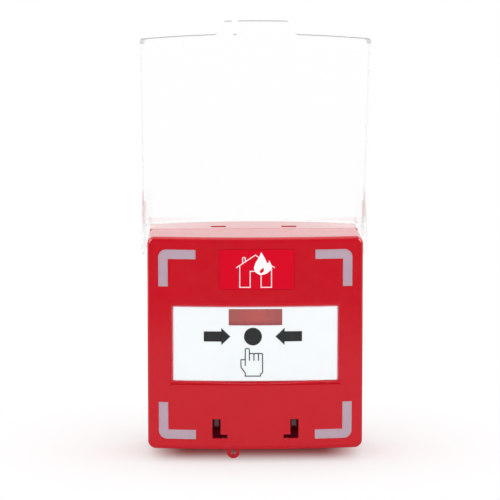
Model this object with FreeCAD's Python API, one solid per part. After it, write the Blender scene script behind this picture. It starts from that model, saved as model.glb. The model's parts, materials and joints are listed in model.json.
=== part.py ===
import FreeCAD, Part
import math
import os
from functools import lru_cache

os.makedirs("parts", exist_ok=True)
Vec = FreeCAD.Vector

# Manual fire alarm call point, in millimetres.
# +X is to the right seen from the front, +Y goes into the wall and +Z is up.
# The wall is the plane y = 0, so the front faces -Y.

# Housing
housing_width = 95.0
housing_height = 94.6
housing_depth = 50.0        # wall to the foremost line of the bowed front
box_depth = 18.0            # wall to the parting line
box_side_step = 0.7         # how far each side of the back box stands in from the front cover
front_bow = 4.4             # fall of the front from its middle to its sides
cover_taper = 0.5           # how far each side of the front cover draws in towards the wall
crown = 1.1                 # rise of the back box's top and bottom, at the middle of the wall face
wall = 2.2
back_wall = 2.5
box_corner_radius = 0.7
rear_corner_radius = 2.0    # long corners of the front cover, at the parting line
front_corner_radius = 3.5   # the same corners at the front
front_edge_radius = 2.2
seam_ease = 0.35            # eased edges of the box and the cover at the parting line
lip_height = 2.0
lip_wall = 1.1
lip_end_drop = 6.0          # the lip stops this far below the top, clear of the hooks
slip = 0.15                 # clearance between parts that are pushed together
seat_gap = 0.03             # clearance between two curved faces that rest on each other
thread_fit = 0.02
past = 1.0                  # how far a cut runs past the surface that it opens

# Features of the face
face_centre_z = 0.1         # middle of the window and the press plate
lens_centre_z = -0.3        # middle of the four corner windows
lens_margin_x = 4.9         # side of the housing to the outer edge of a corner window
lens_margin_z = 5.15
lens_arm = 16.3
lens_band = 4.1
lens_corner_radius = 3.5
lens_flange = 1.1
lens_tail_gap = 0.3
label_width = 33.0
label_height = 17.9
label_centre_x = 0.5
label_from_top = 14.0       # top of the housing to the middle of the label
label_recess = 0.4
label_thickness = 0.35

# Press plate and indicator
plate_width = 72.9
plate_height = 33.2
plate_recess = 0.6
plate_end_radius = 1.2      # rounding of the left and right ends, seen from above
plate_edge_radius = 0.6
plate_travel = 2.5
window_gap = 0.2            # between the press plate and the window's edge
flange_gap = 0.3            # between the press plate's flange and the front wall
window_corner_radius = 0.5
window_rounding = 0.9
sill_height = 0.9
sill_depth = 2.0
sill_overrun = 1.0          # the sill runs past each end of the window
sill_groove = 0.6
flange_wall = 1.2
flange_overlap = 1.6
skirt_wall = 1.2
skirt_inset = 2.2
skirt_end = 14.0            # rear edge of the skirt, behind the foremost line of the front
indicator_width = 23.5
indicator_height = 7.25
indicator_drop = 1.0        # strip of the plate above the indicator
indicator_rebate = 0.8
indicator_wall = 1.5

# Key slots, with the foot of each L pointing inwards
key_centre_x = 17.2
key_leg_width = 3.6
key_leg_height = 8.7
key_foot_width = 6.6
key_foot_height = 1.8
key_from_bottom = 5.2

# Seal lug under the front cover
lug_x = -9.7
lug_hole_radius = 1.2
lug_ring = 1.65
lug_drop = 1.8              # hole centre below the bottom of the housing
lug_thickness = 2.5
lug_front = 5.0             # front face of the lug behind the foremost line of the front

# Hooks of the front cover in the top of the back box
hook_x = 15.9
hook_slot_width = 6.7
hook_slot_length = 3.0
hook_slot_from_wall = 10.9
hook_side_gap = 0.3
hook_thickness = 1.5

# Clear cover, drawn closed and then swung open about its hinge
clear_wall = 2.0
clear_gap = 1.5             # between the front of the housing and the cover, closed
clear_side_gap = 0.6
clear_side_depth = 8.0
clear_edge_radius = 1.8
hinge_from_wall = 27.7
hinge_from_top = 5.2
hinge_pin_radius = 1.9
hinge_pin_chamfer = 0.5
hinge_fit = 0.05
hinge_lug_radius = 5.0
clear_over_hinge = 2.2
clear_overhang = 1.8        # free edge below the bottom of the housing, closed
arm_length = 14.0           # from the hinge to where the arm meets the side rim
tab_length = 6.4
tab_centre_x = 0.45
tab_base_width = 34.4
tab_end_width = 27.7
tab_end_radius = 2.2
tab_base_radius = 2.6
notch_x = -8.8
notch_width = 2.8
notch_depth = 6.65          # closed end of the notch from the end of the tab
open_angle = 156.2

# Carrier and its screws
chassis_wall = 1.8
chassis_gap = 0.4
guide_wall = 1.5
guide_gap = 0.3
tongue_width = 2.0
tongue_height = 2.5
tongue_above_key = 7.5      # top of a tongue above the bottom of its key slot
tongue_setback = 1.4        # behind the inside of the front wall
catch_wall = 1.4
catch_height = 2.0
screw_boss_radius = 3.6
boss_web_wall = 1.25
chassis_screw_from_side = 9.5
chassis_screw_from_top = 25.3
chassis_screw_radius = 1.45
chassis_screw_depth = 8.0
chassis_screw_end_gap = 0.5
chassis_screw_head_radius = 2.9
chassis_screw_head_height = 1.8
screw_slot = 0.6
screw_head_chamfer = 0.4
wall_screw_pitch = 60.0
wall_screw_radius = 2.25

# Circuit board and lamps
board_thickness = 1.6
board_standoff = 1.4
board_screw_from_side = 21.5
board_screw_from_top = 12.3
board_screw_radius = 1.1
board_screw_head_radius = 2.0
board_screw_head_height = 1.3
led_width = 3.4
led_height = 1.9
led_well_radius = 1.1
led_well_depth = 0.5
status_led_radius = 2.5
status_led_length = 8.0
status_led_gap = 2.0        # left in front of the lamp with the plate pushed in
status_lead_radius = 0.3
status_lead_pitch = 2.54

# Microswitch
switch_length = 20.0
switch_width = 6.4
switch_body_height = 10.0
switch_centre_z = -7.3
plunger_x = -3.0
plunger_length = 2.4
plunger_width = 3.2
plunger_rounding = 0.5
plunger_pressed = 0.4       # height of the pressed plunger over the case
plunger_fit = 0.15
lever_wall = 0.5
lever_width = 4.0
lever_pivot_x = -8.4
lever_pin_radius = 0.6
lever_pin_fit = 0.06
lever_gap = 0.3
lever_reach = 18.0
peg_radius = 1.5
peg_x = 8.0

# Reset rocker
rocker_pin_radius = 1.0
rocker_fit = 0.05
rocker_tube_radius = 2.6
rocker_half_length = 20.0
rocker_from_front = 15.0
rocker_above_key = 17.1
rocker_finger_width = 2.4
rocker_finger_x = 13.6
rocker_finger_wall = 2.2
rocker_gap = 0.3
ear_width = 2.0
ear_gap = 0.5

# Terminals, resistors and grommet
terminal_ways = 6
terminal_pitch = 6.0
terminal_depth = 9.5
terminal_height = 9.5
terminal_from_bottom = 20.3
terminal_floor = 1.0
terminal_roof = 1.5
terminal_chamfer = 1.2
terminal_entry = 3.6
terminal_screw_radius = 1.4
terminal_screw_length = 4.0
clamp_wall = 0.6
clamp_gap = 0.1
resistor_count = 3
resistor_length = 6.3
resistor_radius = 1.15
resistor_pitch = 5.0
resistor_lead_radius = 0.3
resistor_z = -6.0
entry_z = 14.0
entry_radius = 7.0
entry_recess_depth = 1.1
grommet_flange = 1.8
grommet_flange_wall = 1.0
grommet_bore_radius = 3.5

# Planes worked out from the driving dimensions
parting_y = -box_depth
front_y = -housing_depth
half_width = housing_width / 2
half_height = housing_height / 2
box_half_width = half_width - box_side_step
cover_rear_half = half_width - cover_taper
bow_radius = (half_width ** 2 + front_bow ** 2) / (2 * front_bow)
bow_centre_y = front_y + bow_radius
lens_reach_x = half_width - lens_margin_x
lens_reach_z = half_height - lens_margin_z
label_centre_z = half_height - label_from_top
key_bottom_z = -half_height + key_from_bottom
window_half_x = plate_width / 2 + window_gap
window_half_z = plate_height / 2 + window_gap
flange_near = wall + flange_gap
flange_far = flange_near + flange_wall
skirt_end_y = front_y + skirt_end
skirt_half_x = plate_width / 2 - skirt_inset
skirt_half_z = plate_height / 2 - skirt_inset
indicator_z = face_centre_z + plate_height / 2 - indicator_drop - indicator_height / 2
indicator_depth = plate_recess + indicator_wall
hinge_y = -hinge_from_wall
hinge_z = half_height - hinge_from_top
lip_outer_x = cover_rear_half - wall - slip
lip_outer_z = half_height - wall - slip
lip_inner_x = lip_outer_x - lip_wall
lip_inner_z = lip_outer_z - lip_wall
chassis_half_x = lip_inner_x - chassis_gap
chassis_half_z = lip_inner_z - chassis_gap
chassis_screw_x = half_width - chassis_screw_from_side
chassis_screw_z = half_height - chassis_screw_from_top
tray_front_y = parting_y - chassis_wall
tray_middle_y = parting_y - chassis_wall / 2
tongue_top_z = key_bottom_z + tongue_above_key
tongue_front_y = bow_centre_y - math.sqrt((bow_radius - wall) ** 2 - key_centre_x ** 2) + tongue_setback
catch_front_y = tongue_front_y + catch_wall + slip
catch_rear_y = catch_front_y + catch_wall
board_front_y = parting_y + board_standoff
board_back_y = board_front_y + board_thickness
board_screw_x = half_width - board_screw_from_side
board_screw_z = half_height - board_screw_from_top
rocker_y = front_y + rocker_from_front
rocker_z = key_bottom_z + rocker_above_key
terminal_z = -half_height + terminal_from_bottom
terminal_low_z = terminal_z - terminal_height / 2
terminal_high_z = terminal_z + terminal_height / 2
cage_size = terminal_entry + 2 * clamp_wall
switch_top_y = board_front_y - switch_body_height
lever_inner_y = switch_top_y - plunger_pressed - lever_gap
lever_outer_y = lever_inner_y - lever_wall
lever_pin_y = (lever_inner_y + lever_outer_y) / 2
lever_swing = math.atan(plate_travel / (peg_x - lever_pivot_x))
plunger_travel = (plunger_x - lever_pivot_x) * math.tan(lever_swing)

quadrants = {
    "top_left": (-1, 1),
    "top_right": (1, 1),
    "bottom_left": (-1, -1),
    "bottom_right": (1, -1),
}


def box(x0, x1, y0, y1, z0, z1):
    """A block between two values along each axis, in either order."""
    x0, x1 = sorted((x0, x1))
    y0, y1 = sorted((y0, y1))
    z0, z1 = sorted((z0, z1))
    return Part.makeBox(x1 - x0, y1 - y0, z1 - z0, Vec(x0, y0, z0))


def rod_x(y, z, radius, x0, x1):
    """A round bar along X."""
    x0, x1 = sorted((x0, x1))
    return Part.makeCylinder(radius, x1 - x0, Vec(x0, y, z), Vec(1, 0, 0))


def rod_y(x, z, radius, y0, y1):
    """A round bar along Y."""
    y0, y1 = sorted((y0, y1))
    return Part.makeCylinder(radius, y1 - y0, Vec(x, y0, z), Vec(0, 1, 0))


def rod_z(x, y, radius, z0, z1):
    """A round bar along Z."""
    return Part.makeCylinder(radius, z1 - z0, Vec(x, y, z0), Vec(0, 0, 1))


def prism_x(points, x0, x1):
    """An outline of (y, z) points, pushed out along X."""
    outline = [Vec(x0, y, z) for y, z in points]
    return Part.Face(Part.makePolygon(outline + outline[:1])).extrude(Vec(x1 - x0, 0, 0))


def prism_y(points, y0, y1):
    """An outline of (x, z) points, pushed out along Y."""
    outline = [Vec(x, y0, z) for x, z in points]
    return Part.Face(Part.makePolygon(outline + outline[:1])).extrude(Vec(0, y1 - y0, 0))


def joined(first, *others):
    """One solid from pieces that meet."""
    return first.fuse(list(others)).removeSplitter()


def edges_along(shape, direction):
    """Straight edges that run along a direction."""
    found = []
    for edge in shape.Edges:
        run = edge.Vertexes[-1].Point.sub(edge.Vertexes[0].Point)
        if edge.Curve.TypeId == "Part::GeomLine" and run.Length > 0:
            if abs(run.normalize().dot(direction)) > 0.999:
                found.append(edge)
    return found


def edges_on_both(shape, first, second):
    """Edges of a shape that lie on the surfaces of two others."""
    found = []
    for edge in shape.Edges:
        middle = Part.Vertex(edge.valueAt((edge.FirstParameter + edge.LastParameter) / 2))
        gaps = [middle.distToShape(other.Shells[0])[0] for other in (first, second)]
        if max(gaps) < 0.001:
            found.append(edge)
    return found


def edges_at_y(shape, y):
    """Edges whose middle lies in the plane of one depth."""
    return [edge for edge in shape.Edges if abs(edge.CenterOfMass.y - y) < 0.01]


def foremost_face(shape):
    """The face that lies furthest towards the front."""
    return min(shape.Faces, key=lambda face: face.CenterOfMass.y)


def write(name, shape):
    shape.exportStep("parts/" + name + ".step")


def bow_y(x, inset):
    """Depth of the bowed front, moved in by inset, at a distance from the middle."""
    return bow_centre_y - math.sqrt((bow_radius - inset) ** 2 - x ** 2)


def bowed_block(half_front, half_rear, rear_y, low_z, high_z, inset):
    """A block with a bowed front, drawn in plan and pushed up along Z."""
    side_y = bow_y(half_front, inset)
    left = Vec(-half_front, side_y, low_z)
    middle = Vec(0, bow_y(0, inset), low_z)
    right = Vec(half_front, side_y, low_z)
    right_rear = Vec(half_rear, rear_y, low_z)
    left_rear = Vec(-half_rear, rear_y, low_z)
    edges = [
        Part.Arc(left, middle, right).toShape(),
        Part.makeLine(right, right_rear),
        Part.makeLine(right_rear, left_rear),
        Part.makeLine(left_rear, left),
    ]
    return Part.Face(Part.Wire(edges)).extrude(Vec(0, 0, high_z - low_z))


def long_corners(shape):
    """The edges of a form that run from its front to its rear."""
    return [edge for edge in shape.Edges if abs(edge.Vertexes[0].Y - edge.Vertexes[-1].Y) > box_depth / 2]


def round_cover_corners(core):
    """Rounds the long corners of the cover, each from the front radius to the rear radius."""
    for side_x, side_z in quadrants.values():
        edge = max(long_corners(core), key=lambda found: found.CenterOfMass.dot(Vec(side_x, 0, side_z)))
        radii = (front_corner_radius, rear_corner_radius)
        if edge.valueAt(edge.FirstParameter).y > edge.valueAt(edge.LastParameter).y:
            radii = radii[::-1]
        core = core.makeFillet(*radii, [edge])
    return core


@lru_cache(maxsize=None)
def cover_core(inset):
    """The front cover's form moved in by inset, from the parting line to the front."""
    half_z = half_height - inset
    core = bowed_block(half_width - inset, cover_rear_half - inset, parting_y, -half_z, half_z, inset)
    if inset > 0:
        core = core.makeFillet(max(front_corner_radius - inset, rear_corner_radius / 2), long_corners(core))
    else:
        core = round_cover_corners(core)
        core = core.makeChamfer(seam_ease, edges_at_y(core, parting_y))
    if front_edge_radius > inset + slip:
        core = core.makeFillet(front_edge_radius - inset, foremost_face(core).Edges)
    return core


def crowned_outline(inset, y):
    """The back box's outline at one depth: straight at the parting line, crowned at the wall."""
    half_x = box_half_width - inset
    half_z = half_height - inset
    top = Part.BezierCurve()
    bottom = Part.BezierCurve()
    peak = half_z + 2 * crown * (1 + y / box_depth)
    top.setPoles([Vec(half_x, y, half_z), Vec(0, y, peak), Vec(-half_x, y, half_z)])
    bottom.setPoles([Vec(-half_x, y, -half_z), Vec(0, y, -peak), Vec(half_x, y, -half_z)])
    return Part.Wire([
        bottom.toShape(),
        Part.makeLine(Vec(half_x, y, -half_z), Vec(half_x, y, half_z)),
        top.toShape(),
        Part.makeLine(Vec(-half_x, y, half_z), Vec(-half_x, y, -half_z)),
    ])


def crowned_block(inset, near_y, far_y):
    """The back box's form moved in by inset, with rounded long corners."""
    block = Part.makeLoft([crowned_outline(inset, near_y), crowned_outline(inset, far_y)], True, True)
    return block.makeFillet(box_corner_radius, long_corners(block))


def front_zone(depth):
    """The space from ahead of the front down to a depth below its sides."""
    return box(-half_width, half_width, front_y - past, front_y + front_bow + depth,
               -half_height, half_height)


def face_band(outline, near, far):
    """The part of a straight-sided bar that lies between two depths under the bowed front."""
    return outline.common(cover_core(near)).cut(cover_core(far)).common(front_zone(far))


def through_front(outline):
    """The part of a bar that opens the front wall and nothing behind it."""
    return outline.common(front_zone(2 * wall))


def face_bar(centre_x, centre_z, width, height):
    """A straight bar through the front with a rectangular outline."""
    return box(centre_x - width / 2, centre_x + width / 2, front_y - past, parting_y,
               centre_z - height / 2, centre_z + height / 2)


def corner_bar(grow, side_x, side_z):
    """The L of one corner window as a bar through the front, made larger all round by grow."""
    outer_x = side_x * (lens_reach_x + grow)
    outer_z = side_z * (lens_reach_z + grow) + lens_centre_z
    inner_x = side_x * (lens_reach_x - lens_band - grow)
    inner_z = side_z * (lens_reach_z - lens_band - grow) + lens_centre_z
    end_x = side_x * (lens_reach_x - lens_arm - grow)
    end_z = side_z * (lens_reach_z - lens_arm - grow) + lens_centre_z
    outline = [(outer_x, end_z), (outer_x, outer_z), (end_x, outer_z),
               (end_x, inner_z), (inner_x, inner_z), (inner_x, end_z)]
    bar = prism_y(outline, front_y - past, parting_y)
    corner = [edge for edge in edges_along(bar, Vec(0, 1, 0))
              if math.hypot(edge.Vertexes[0].X - outer_x, edge.Vertexes[0].Z - outer_z) < slip]
    return bar.makeFillet(lens_corner_radius + grow, corner)


def lip_frame(outer_x, outer_z, y0, y1):
    """A U round the sides and the bottom of the opening, open at the top for the hooks."""
    frame = box(-outer_x, outer_x, y0, y1, -outer_z, half_height - lip_end_drop)
    low_corners = [edge for edge in edges_along(frame, Vec(0, 1, 0)) if edge.Vertexes[0].Z < 0]
    frame = frame.makeFillet(front_corner_radius - wall, low_corners)
    return frame.cut(box(-lip_inner_x, lip_inner_x, y0 - past, y1 + past, -lip_inner_z, half_height))


def back_box():
    """Moulded box on the wall: crowned top and bottom, screw bosses, lip, hook slots and cable entry."""
    outer = crowned_block(0, parting_y, 0)
    outer = outer.makeChamfer(seam_ease, edges_at_y(outer, parting_y))
    body = outer.cut(crowned_block(wall, parting_y - past, -back_wall))
    body = body.fuse([
        lip_frame(lip_outer_x, lip_outer_z, parting_y - lip_height, parting_y),
        lip_frame(box_half_width - wall / 2, half_height - wall / 2, parting_y, parting_y + wall),
    ])
    floor_y = -back_wall / 2
    side_x_root = box_half_width - wall / 2
    for side_x, side_z in quadrants.values():
        x = side_x * chassis_screw_x
        z = side_z * chassis_screw_z
        boss = rod_y(x, z, screw_boss_radius, parting_y, floor_y)
        web = box(x, side_x * side_x_root, parting_y, floor_y, z - boss_web_wall / 2, z + boss_web_wall / 2)
        body = body.fuse([boss, web])
    for side_x, side_z in quadrants.values():
        body = body.cut(rod_y(side_x * chassis_screw_x, side_z * chassis_screw_z,
                              chassis_screw_radius + thread_fit,
                              parting_y - past, parting_y + chassis_screw_depth))
        body = body.cut(rod_y(side_x * wall_screw_pitch / 2, side_z * wall_screw_pitch / 2,
                              wall_screw_radius, -back_wall - past, past))
    for side_x in (-1, 1):
        body = body.cut(box(side_x * hook_x - hook_slot_width / 2, side_x * hook_x + hook_slot_width / 2,
                            -hook_slot_from_wall - hook_slot_length, -hook_slot_from_wall,
                            half_height - 2 * wall, half_height + 2 * crown))
    body = body.cut(rod_y(0, entry_z, entry_radius, -back_wall - past, past))
    body = body.cut(rod_y(0, entry_z, entry_radius + grommet_flange + slip, -entry_recess_depth, past))
    return body.removeSplitter()


def key_slot(side_x):
    """An L-shaped hole through the front, with its foot pointing inwards."""
    outer = side_x * (key_centre_x + key_leg_width / 2)
    inner = side_x * (key_centre_x - key_leg_width / 2)
    toe = side_x * (key_centre_x + key_leg_width / 2 - key_foot_width)
    leg_part = box(inner, outer, front_y - past, parting_y, key_bottom_z, key_bottom_z + key_leg_height)
    foot_part = box(toe, outer, front_y - past, parting_y, key_bottom_z, key_bottom_z + key_foot_height)
    return through_front(joined(leg_part, foot_part))


def cover_catch(side_x):
    """A bracket behind a key slot, whose bar the carrier's tongue holds."""
    inner = key_centre_x - key_leg_width / 2 - slip
    outer = key_centre_x + key_leg_width / 2 + slip
    bottom = tongue_top_z + slip
    top = bottom + catch_height + catch_wall
    bracket = box(side_x * (inner - catch_wall), side_x * (outer + catch_wall),
                  front_y, catch_rear_y, bottom, top)
    room = box(side_x * inner, side_x * outer,
               front_y - past, catch_front_y, bottom - past, top - catch_wall)
    return bracket.cut(room).common(cover_core(wall / 2))


def cover_hook(side_x):
    """A tongue from the cover's top wall that hooks up into the slot of the back box."""
    top = half_height - wall - slip
    x0 = side_x * hook_x - hook_slot_width / 2 + hook_side_gap
    x1 = side_x * hook_x + hook_slot_width / 2 - hook_side_gap
    tip_y = -hook_slot_from_wall - hook_side_gap
    nib_y = tip_y - hook_slot_length + 2 * hook_side_gap
    root_y = parting_y - 3 * hook_thickness
    root = box(x0, x1, root_y, parting_y, top - hook_thickness, half_height - wall / 2)
    tongue = box(x0, x1, root_y, tip_y, top - hook_thickness, top)
    nib = box(x0, x1, nib_y, tip_y, top - hook_thickness, top + wall / 2)
    return joined(root, tongue, nib)


def seal_lug():
    """A flat eye under the bottom edge, for a seal."""
    outer = lug_hole_radius + lug_ring
    hole_z = -half_height - lug_drop
    near_y = front_y + lug_front
    far_y = near_y + lug_thickness
    eye = rod_y(lug_x, hole_z, outer, near_y, far_y)
    neck = box(lug_x - outer, lug_x + outer, near_y, far_y, hole_z, -half_height + wall / 2)
    return joined(eye, neck).cut(rod_y(lug_x, hole_z, lug_hole_radius, near_y - past, far_y + past))


def window_sill():
    """The bevel under the window, cut down to a depth under the bowed front."""
    top = face_centre_z - window_half_z
    bottom = top - sill_height - sill_groove
    end = window_half_x + sill_overrun
    wedge = prism_x([(front_y - past, top + past), (front_y - past, bottom),
                     (front_y + sill_depth, top + slip), (front_y + sill_depth, top + past)], -end, end)
    crease = box(-end, end, front_y - past, parting_y, bottom, bottom + sill_groove)
    return wedge.cut(cover_core(sill_depth)), face_band(crease, 0, 2 * sill_groove)


def front_cover():
    """Moulded shell with the bowed front and everything that is cut or moulded into it."""
    shell = cover_core(0).cut(cover_core(wall))
    window = face_bar(0, face_centre_z, 2 * window_half_x, 2 * window_half_z)
    window = window.makeFillet(window_corner_radius, edges_along(window, Vec(0, 1, 0)))
    shell = shell.cut(through_front(window))
    shell = shell.makeFillet(window_rounding, edges_on_both(shell, window, cover_core(0)))
    for cutter in window_sill():
        shell = shell.cut(cutter)
    label = face_bar(label_centre_x, label_centre_z, label_width, label_height)
    shell = shell.cut(label.cut(cover_core(label_recess)))
    for side_x, side_z in quadrants.values():
        shell = shell.cut(through_front(corner_bar(slip / 2, side_x, side_z)))
    for side_x in (-1, 1):
        shell = shell.cut(key_slot(side_x))
        shell = shell.fuse([cover_catch(side_x), cover_hook(side_x)])
    pin_hole = rod_x(hinge_y, hinge_z, hinge_pin_radius + hinge_fit, -half_width - past, half_width + past)
    return joined(shell.cut(pin_hole), seal_lug())


def corner_lens(side_x, side_z):
    """A light guide: an L flush with the front, a flange behind the wall and a tail to its lamp."""
    face = face_band(corner_bar(0, side_x, side_z), 0, wall + lens_flange / 2)
    flange = face_band(corner_bar(lens_flange, side_x, side_z), wall + seat_gap, wall + lens_flange)
    tail = box(side_x * lens_reach_x, side_x * (lens_reach_x - lens_band),
               bow_y(lens_reach_x, wall) + slip, board_front_y - led_height - lens_tail_gap,
               side_z * lens_reach_z + lens_centre_z, side_z * (lens_reach_z - lens_band) + lens_centre_z)
    return joined(face, flange, tail)


def pictogram_label():
    """A thin label in its recess, bent to the bow of the front."""
    outline = face_bar(label_centre_x, label_centre_z, label_width - 2 * slip, label_height - 2 * slip)
    return face_band(outline, label_recess - label_thickness, label_recess)


def plate_face():
    """The visible part of the press plate: bowed, with rounded ends and eased long edges."""
    rear_y = bow_y(0, flange_near)
    block = bowed_block(plate_width / 2, plate_width / 2, front_y + front_bow + 2 * wall,
                        face_centre_z - plate_height / 2, face_centre_z + plate_height / 2, plate_recess)
    ends = [edge for edge in edges_along(block, Vec(0, 0, 1)) if edge.Vertexes[0].Y < rear_y + front_bow]
    block = block.makeFillet(plate_end_radius, ends)
    long_edges = [edge for edge in foremost_face(block).Edges if edge.Curve.TypeId == "Part::GeomCircle"]
    block = block.makeFillet(plate_edge_radius, long_edges)
    return block.cut(cover_core(flange_far))


def press_plate():
    """White plate with a flange behind the window's edge, a skirt on the guide and a switch peg."""
    flange_bar = face_bar(0, face_centre_z, plate_width + 2 * flange_overlap,
                          plate_height + 2 * flange_overlap)
    flange = face_band(flange_bar, flange_near, flange_far)
    skirt = box(-skirt_half_x, skirt_half_x, front_y, skirt_end_y,
                face_centre_z - skirt_half_z, face_centre_z + skirt_half_z)
    skirt = skirt.cut(box(-skirt_half_x + skirt_wall, skirt_half_x - skirt_wall,
                          front_y - past, skirt_end_y + past,
                          face_centre_z - skirt_half_z + skirt_wall,
                          face_centre_z + skirt_half_z - skirt_wall))
    skirt = skirt.cut(lamp_passage(skirt_end_y + past))
    peg_end = lever_outer_y - lever_gap - plate_travel
    peg = joined(rod_y(peg_x, switch_centre_z, peg_radius, front_y, peg_end - peg_radius),
                 Part.makeSphere(peg_radius, Vec(peg_x, peg_end - peg_radius, switch_centre_z)))
    behind_face = cover_core(flange_near + flange_wall / 2)
    body = plate_face().fuse([flange, skirt.common(behind_face), peg.common(behind_face)])
    hole = through_front(face_bar(0, indicator_z, indicator_width, indicator_height))
    rebate = face_bar(0, indicator_z, indicator_width + 2 * indicator_rebate,
                      indicator_height + indicator_rebate)
    rebate = face_band(rebate, indicator_depth - indicator_rebate, flange_far + indicator_rebate)
    return body.cut([hole, rebate]).removeSplitter()


def lamp_passage(rear_y):
    """Room for the status lamp through the top walls of the skirt and the guide."""
    half = indicator_width / 2 + 2 * indicator_rebate
    return box(-half, half, front_y - past, rear_y, face_centre_z, half_height)


def indicator_lens():
    """Dark red window, let into the press plate from behind."""
    shoulder_near = indicator_depth - indicator_rebate + seat_gap
    window = face_bar(0, indicator_z, indicator_width - slip, indicator_height - slip)
    shoulder = face_bar(0, indicator_z, indicator_width + 2 * indicator_rebate - slip,
                        indicator_height + indicator_rebate - slip)
    return joined(face_band(window, plate_recess, indicator_depth),
                  face_band(shoulder, shoulder_near, indicator_depth))


def clear_cover():
    """Clear cover in one moulding, drawn closed in front of the housing and swung open."""
    inner_half = half_width + clear_side_gap
    outer_half = inner_half + clear_wall
    low_z = -half_height - clear_overhang
    tab_z = low_z - tab_length
    near_z = hinge_z + clear_over_hinge
    high_z = near_z + 2 * hinge_lug_radius
    rim_y = bow_y(half_width, 0) - clear_gap - clear_wall + clear_side_depth
    deep_y = hinge_y + 2 * hinge_lug_radius
    outer = bowed_block(outer_half, outer_half, deep_y, tab_z, high_z, -clear_gap - clear_wall)
    upright = [edge for edge in edges_along(outer, Vec(0, 0, 1)) if edge.Vertexes[0].Y < rim_y]
    outer = outer.makeFillet(clear_edge_radius, upright)
    inner = bowed_block(inner_half, inner_half, deep_y + past, tab_z - past, high_z + past, -clear_gap)
    shell = outer.cut(inner)
    shell = shell.common(front_outline(outer_half, low_z, tab_z, high_z, deep_y))
    shell = shell.common(side_outline(rim_y, tab_z - past, near_z))
    far_y = front_y - 2 * front_bow
    notch_end_z = tab_z + notch_depth - notch_width / 2
    notch = joined(box(notch_x - notch_width / 2, notch_x + notch_width / 2,
                       far_y, deep_y, tab_z - past, notch_end_z),
                   rod_y(notch_x, notch_end_z, notch_width / 2, far_y, deep_y))
    shell = shell.cut(notch)
    for side_x in (-1, 1):
        root_x = side_x * (inner_half + clear_wall / 2)
        tip_x = side_x * (cover_rear_half - wall - slip)
        stud = rod_x(hinge_y, hinge_z, hinge_pin_radius, root_x, tip_x)
        tip_edges = [edge for edge in stud.Edges if abs(edge.CenterOfMass.x - tip_x) < slip]
        shell = shell.fuse(stud.makeChamfer(hinge_pin_chamfer, tip_edges))
    shell = shell.removeSplitter()
    shell.rotate(Vec(0, hinge_y, hinge_z), Vec(1, 0, 0), -open_angle)
    return shell


def front_outline(outer_half, low_z, tab_z, high_z, deep_y):
    """Front view of the clear cover, closed, with its pull tab at the free edge."""
    base_left = tab_centre_x - tab_base_width / 2
    base_right = tab_centre_x + tab_base_width / 2
    end_left = tab_centre_x - tab_end_width / 2
    end_right = tab_centre_x + tab_end_width / 2
    points = [(-outer_half, high_z), (-outer_half, low_z), (base_left, low_z), (end_left, tab_z),
              (end_right, tab_z), (base_right, low_z), (outer_half, low_z), (outer_half, high_z)]
    outline = prism_y(points, front_y - 2 * front_bow, deep_y)
    ends = [edge for edge in edges_along(outline, Vec(0, 1, 0)) if edge.Vertexes[0].Z < tab_z + slip]
    outline = outline.makeFillet(tab_end_radius, ends)
    bases = [edge for edge in edges_along(outline, Vec(0, 1, 0))
             if abs(edge.Vertexes[0].Z - low_z) < slip and abs(edge.Vertexes[0].X) < outer_half - slip]
    return outline.makeFillet(tab_base_radius, bases)


def tangent_point(from_y, from_z, turn):
    """Where a line from a point touches the hinge lug's circle, on the side given by turn."""
    along_y = hinge_y - from_y
    along_z = hinge_z - from_z
    distance = math.hypot(along_y, along_z)
    bearing = math.atan2(along_z, along_y) + turn * math.asin(hinge_lug_radius / distance)
    reach = math.sqrt(distance ** 2 - hinge_lug_radius ** 2)
    return from_y + reach * math.cos(bearing), from_z + reach * math.sin(bearing)


def side_outline(rim_y, low_z, near_z):
    """Side view of the clear cover, closed: plate, side rim, arm and hinge lug."""
    far_y = front_y - 2 * front_bow
    arm_z = hinge_z - arm_length
    shoulder_y = bow_y(half_width, 0) - clear_gap - clear_wall
    x = -half_width - 2 * clear_wall
    top_y, top_z = tangent_point(shoulder_y, near_z, 1)
    under_y, under_z = tangent_point(rim_y, arm_z, -1)
    around = Part.Arc(Vec(x, top_y, top_z), Vec(x, hinge_y + hinge_lug_radius, hinge_z),
                      Vec(x, under_y, under_z))
    run = [Vec(x, under_y, under_z), Vec(x, rim_y, arm_z), Vec(x, rim_y, low_z), Vec(x, far_y, low_z),
           Vec(x, far_y, near_z), Vec(x, shoulder_y, near_z), Vec(x, top_y, top_z)]
    edges = [Part.makeLine(start, end) for start, end in zip(run, run[1:])]
    return Part.Face(Part.Wire([around.toShape()] + edges)).extrude(Vec(-2 * x, 0, 0))


def guide_ring():
    """The ring that stands in the press plate's skirt and guides it."""
    half_x = skirt_half_x - skirt_wall - guide_gap
    half_z = skirt_half_z - skirt_wall - guide_gap
    top_y = bow_y(half_x, flange_far) + plate_travel + 2 * guide_gap
    ring = box(-half_x, half_x, top_y, tray_front_y, face_centre_z - half_z, face_centre_z + half_z)
    ring = ring.cut(box(-half_x + guide_wall, half_x - guide_wall, top_y - past, tray_front_y + past,
                        face_centre_z - half_z + guide_wall, face_centre_z + half_z - guide_wall))
    return ring.cut(lamp_passage(tray_front_y))


def spring_tongue(side_x):
    """A springy arm behind a key slot, with a nib that holds the cover's catch bar."""
    x0 = side_x * (key_centre_x - slip - tongue_width / 2)
    x1 = side_x * (key_centre_x - slip + tongue_width / 2)
    bottom = tongue_top_z - tongue_height
    arm = box(x0, x1, tongue_front_y, tray_middle_y, bottom, tongue_top_z)
    nib = box(x0, x1, tongue_front_y, catch_front_y - slip, bottom, tongue_top_z + catch_height - slip)
    return joined(arm, nib)


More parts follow.
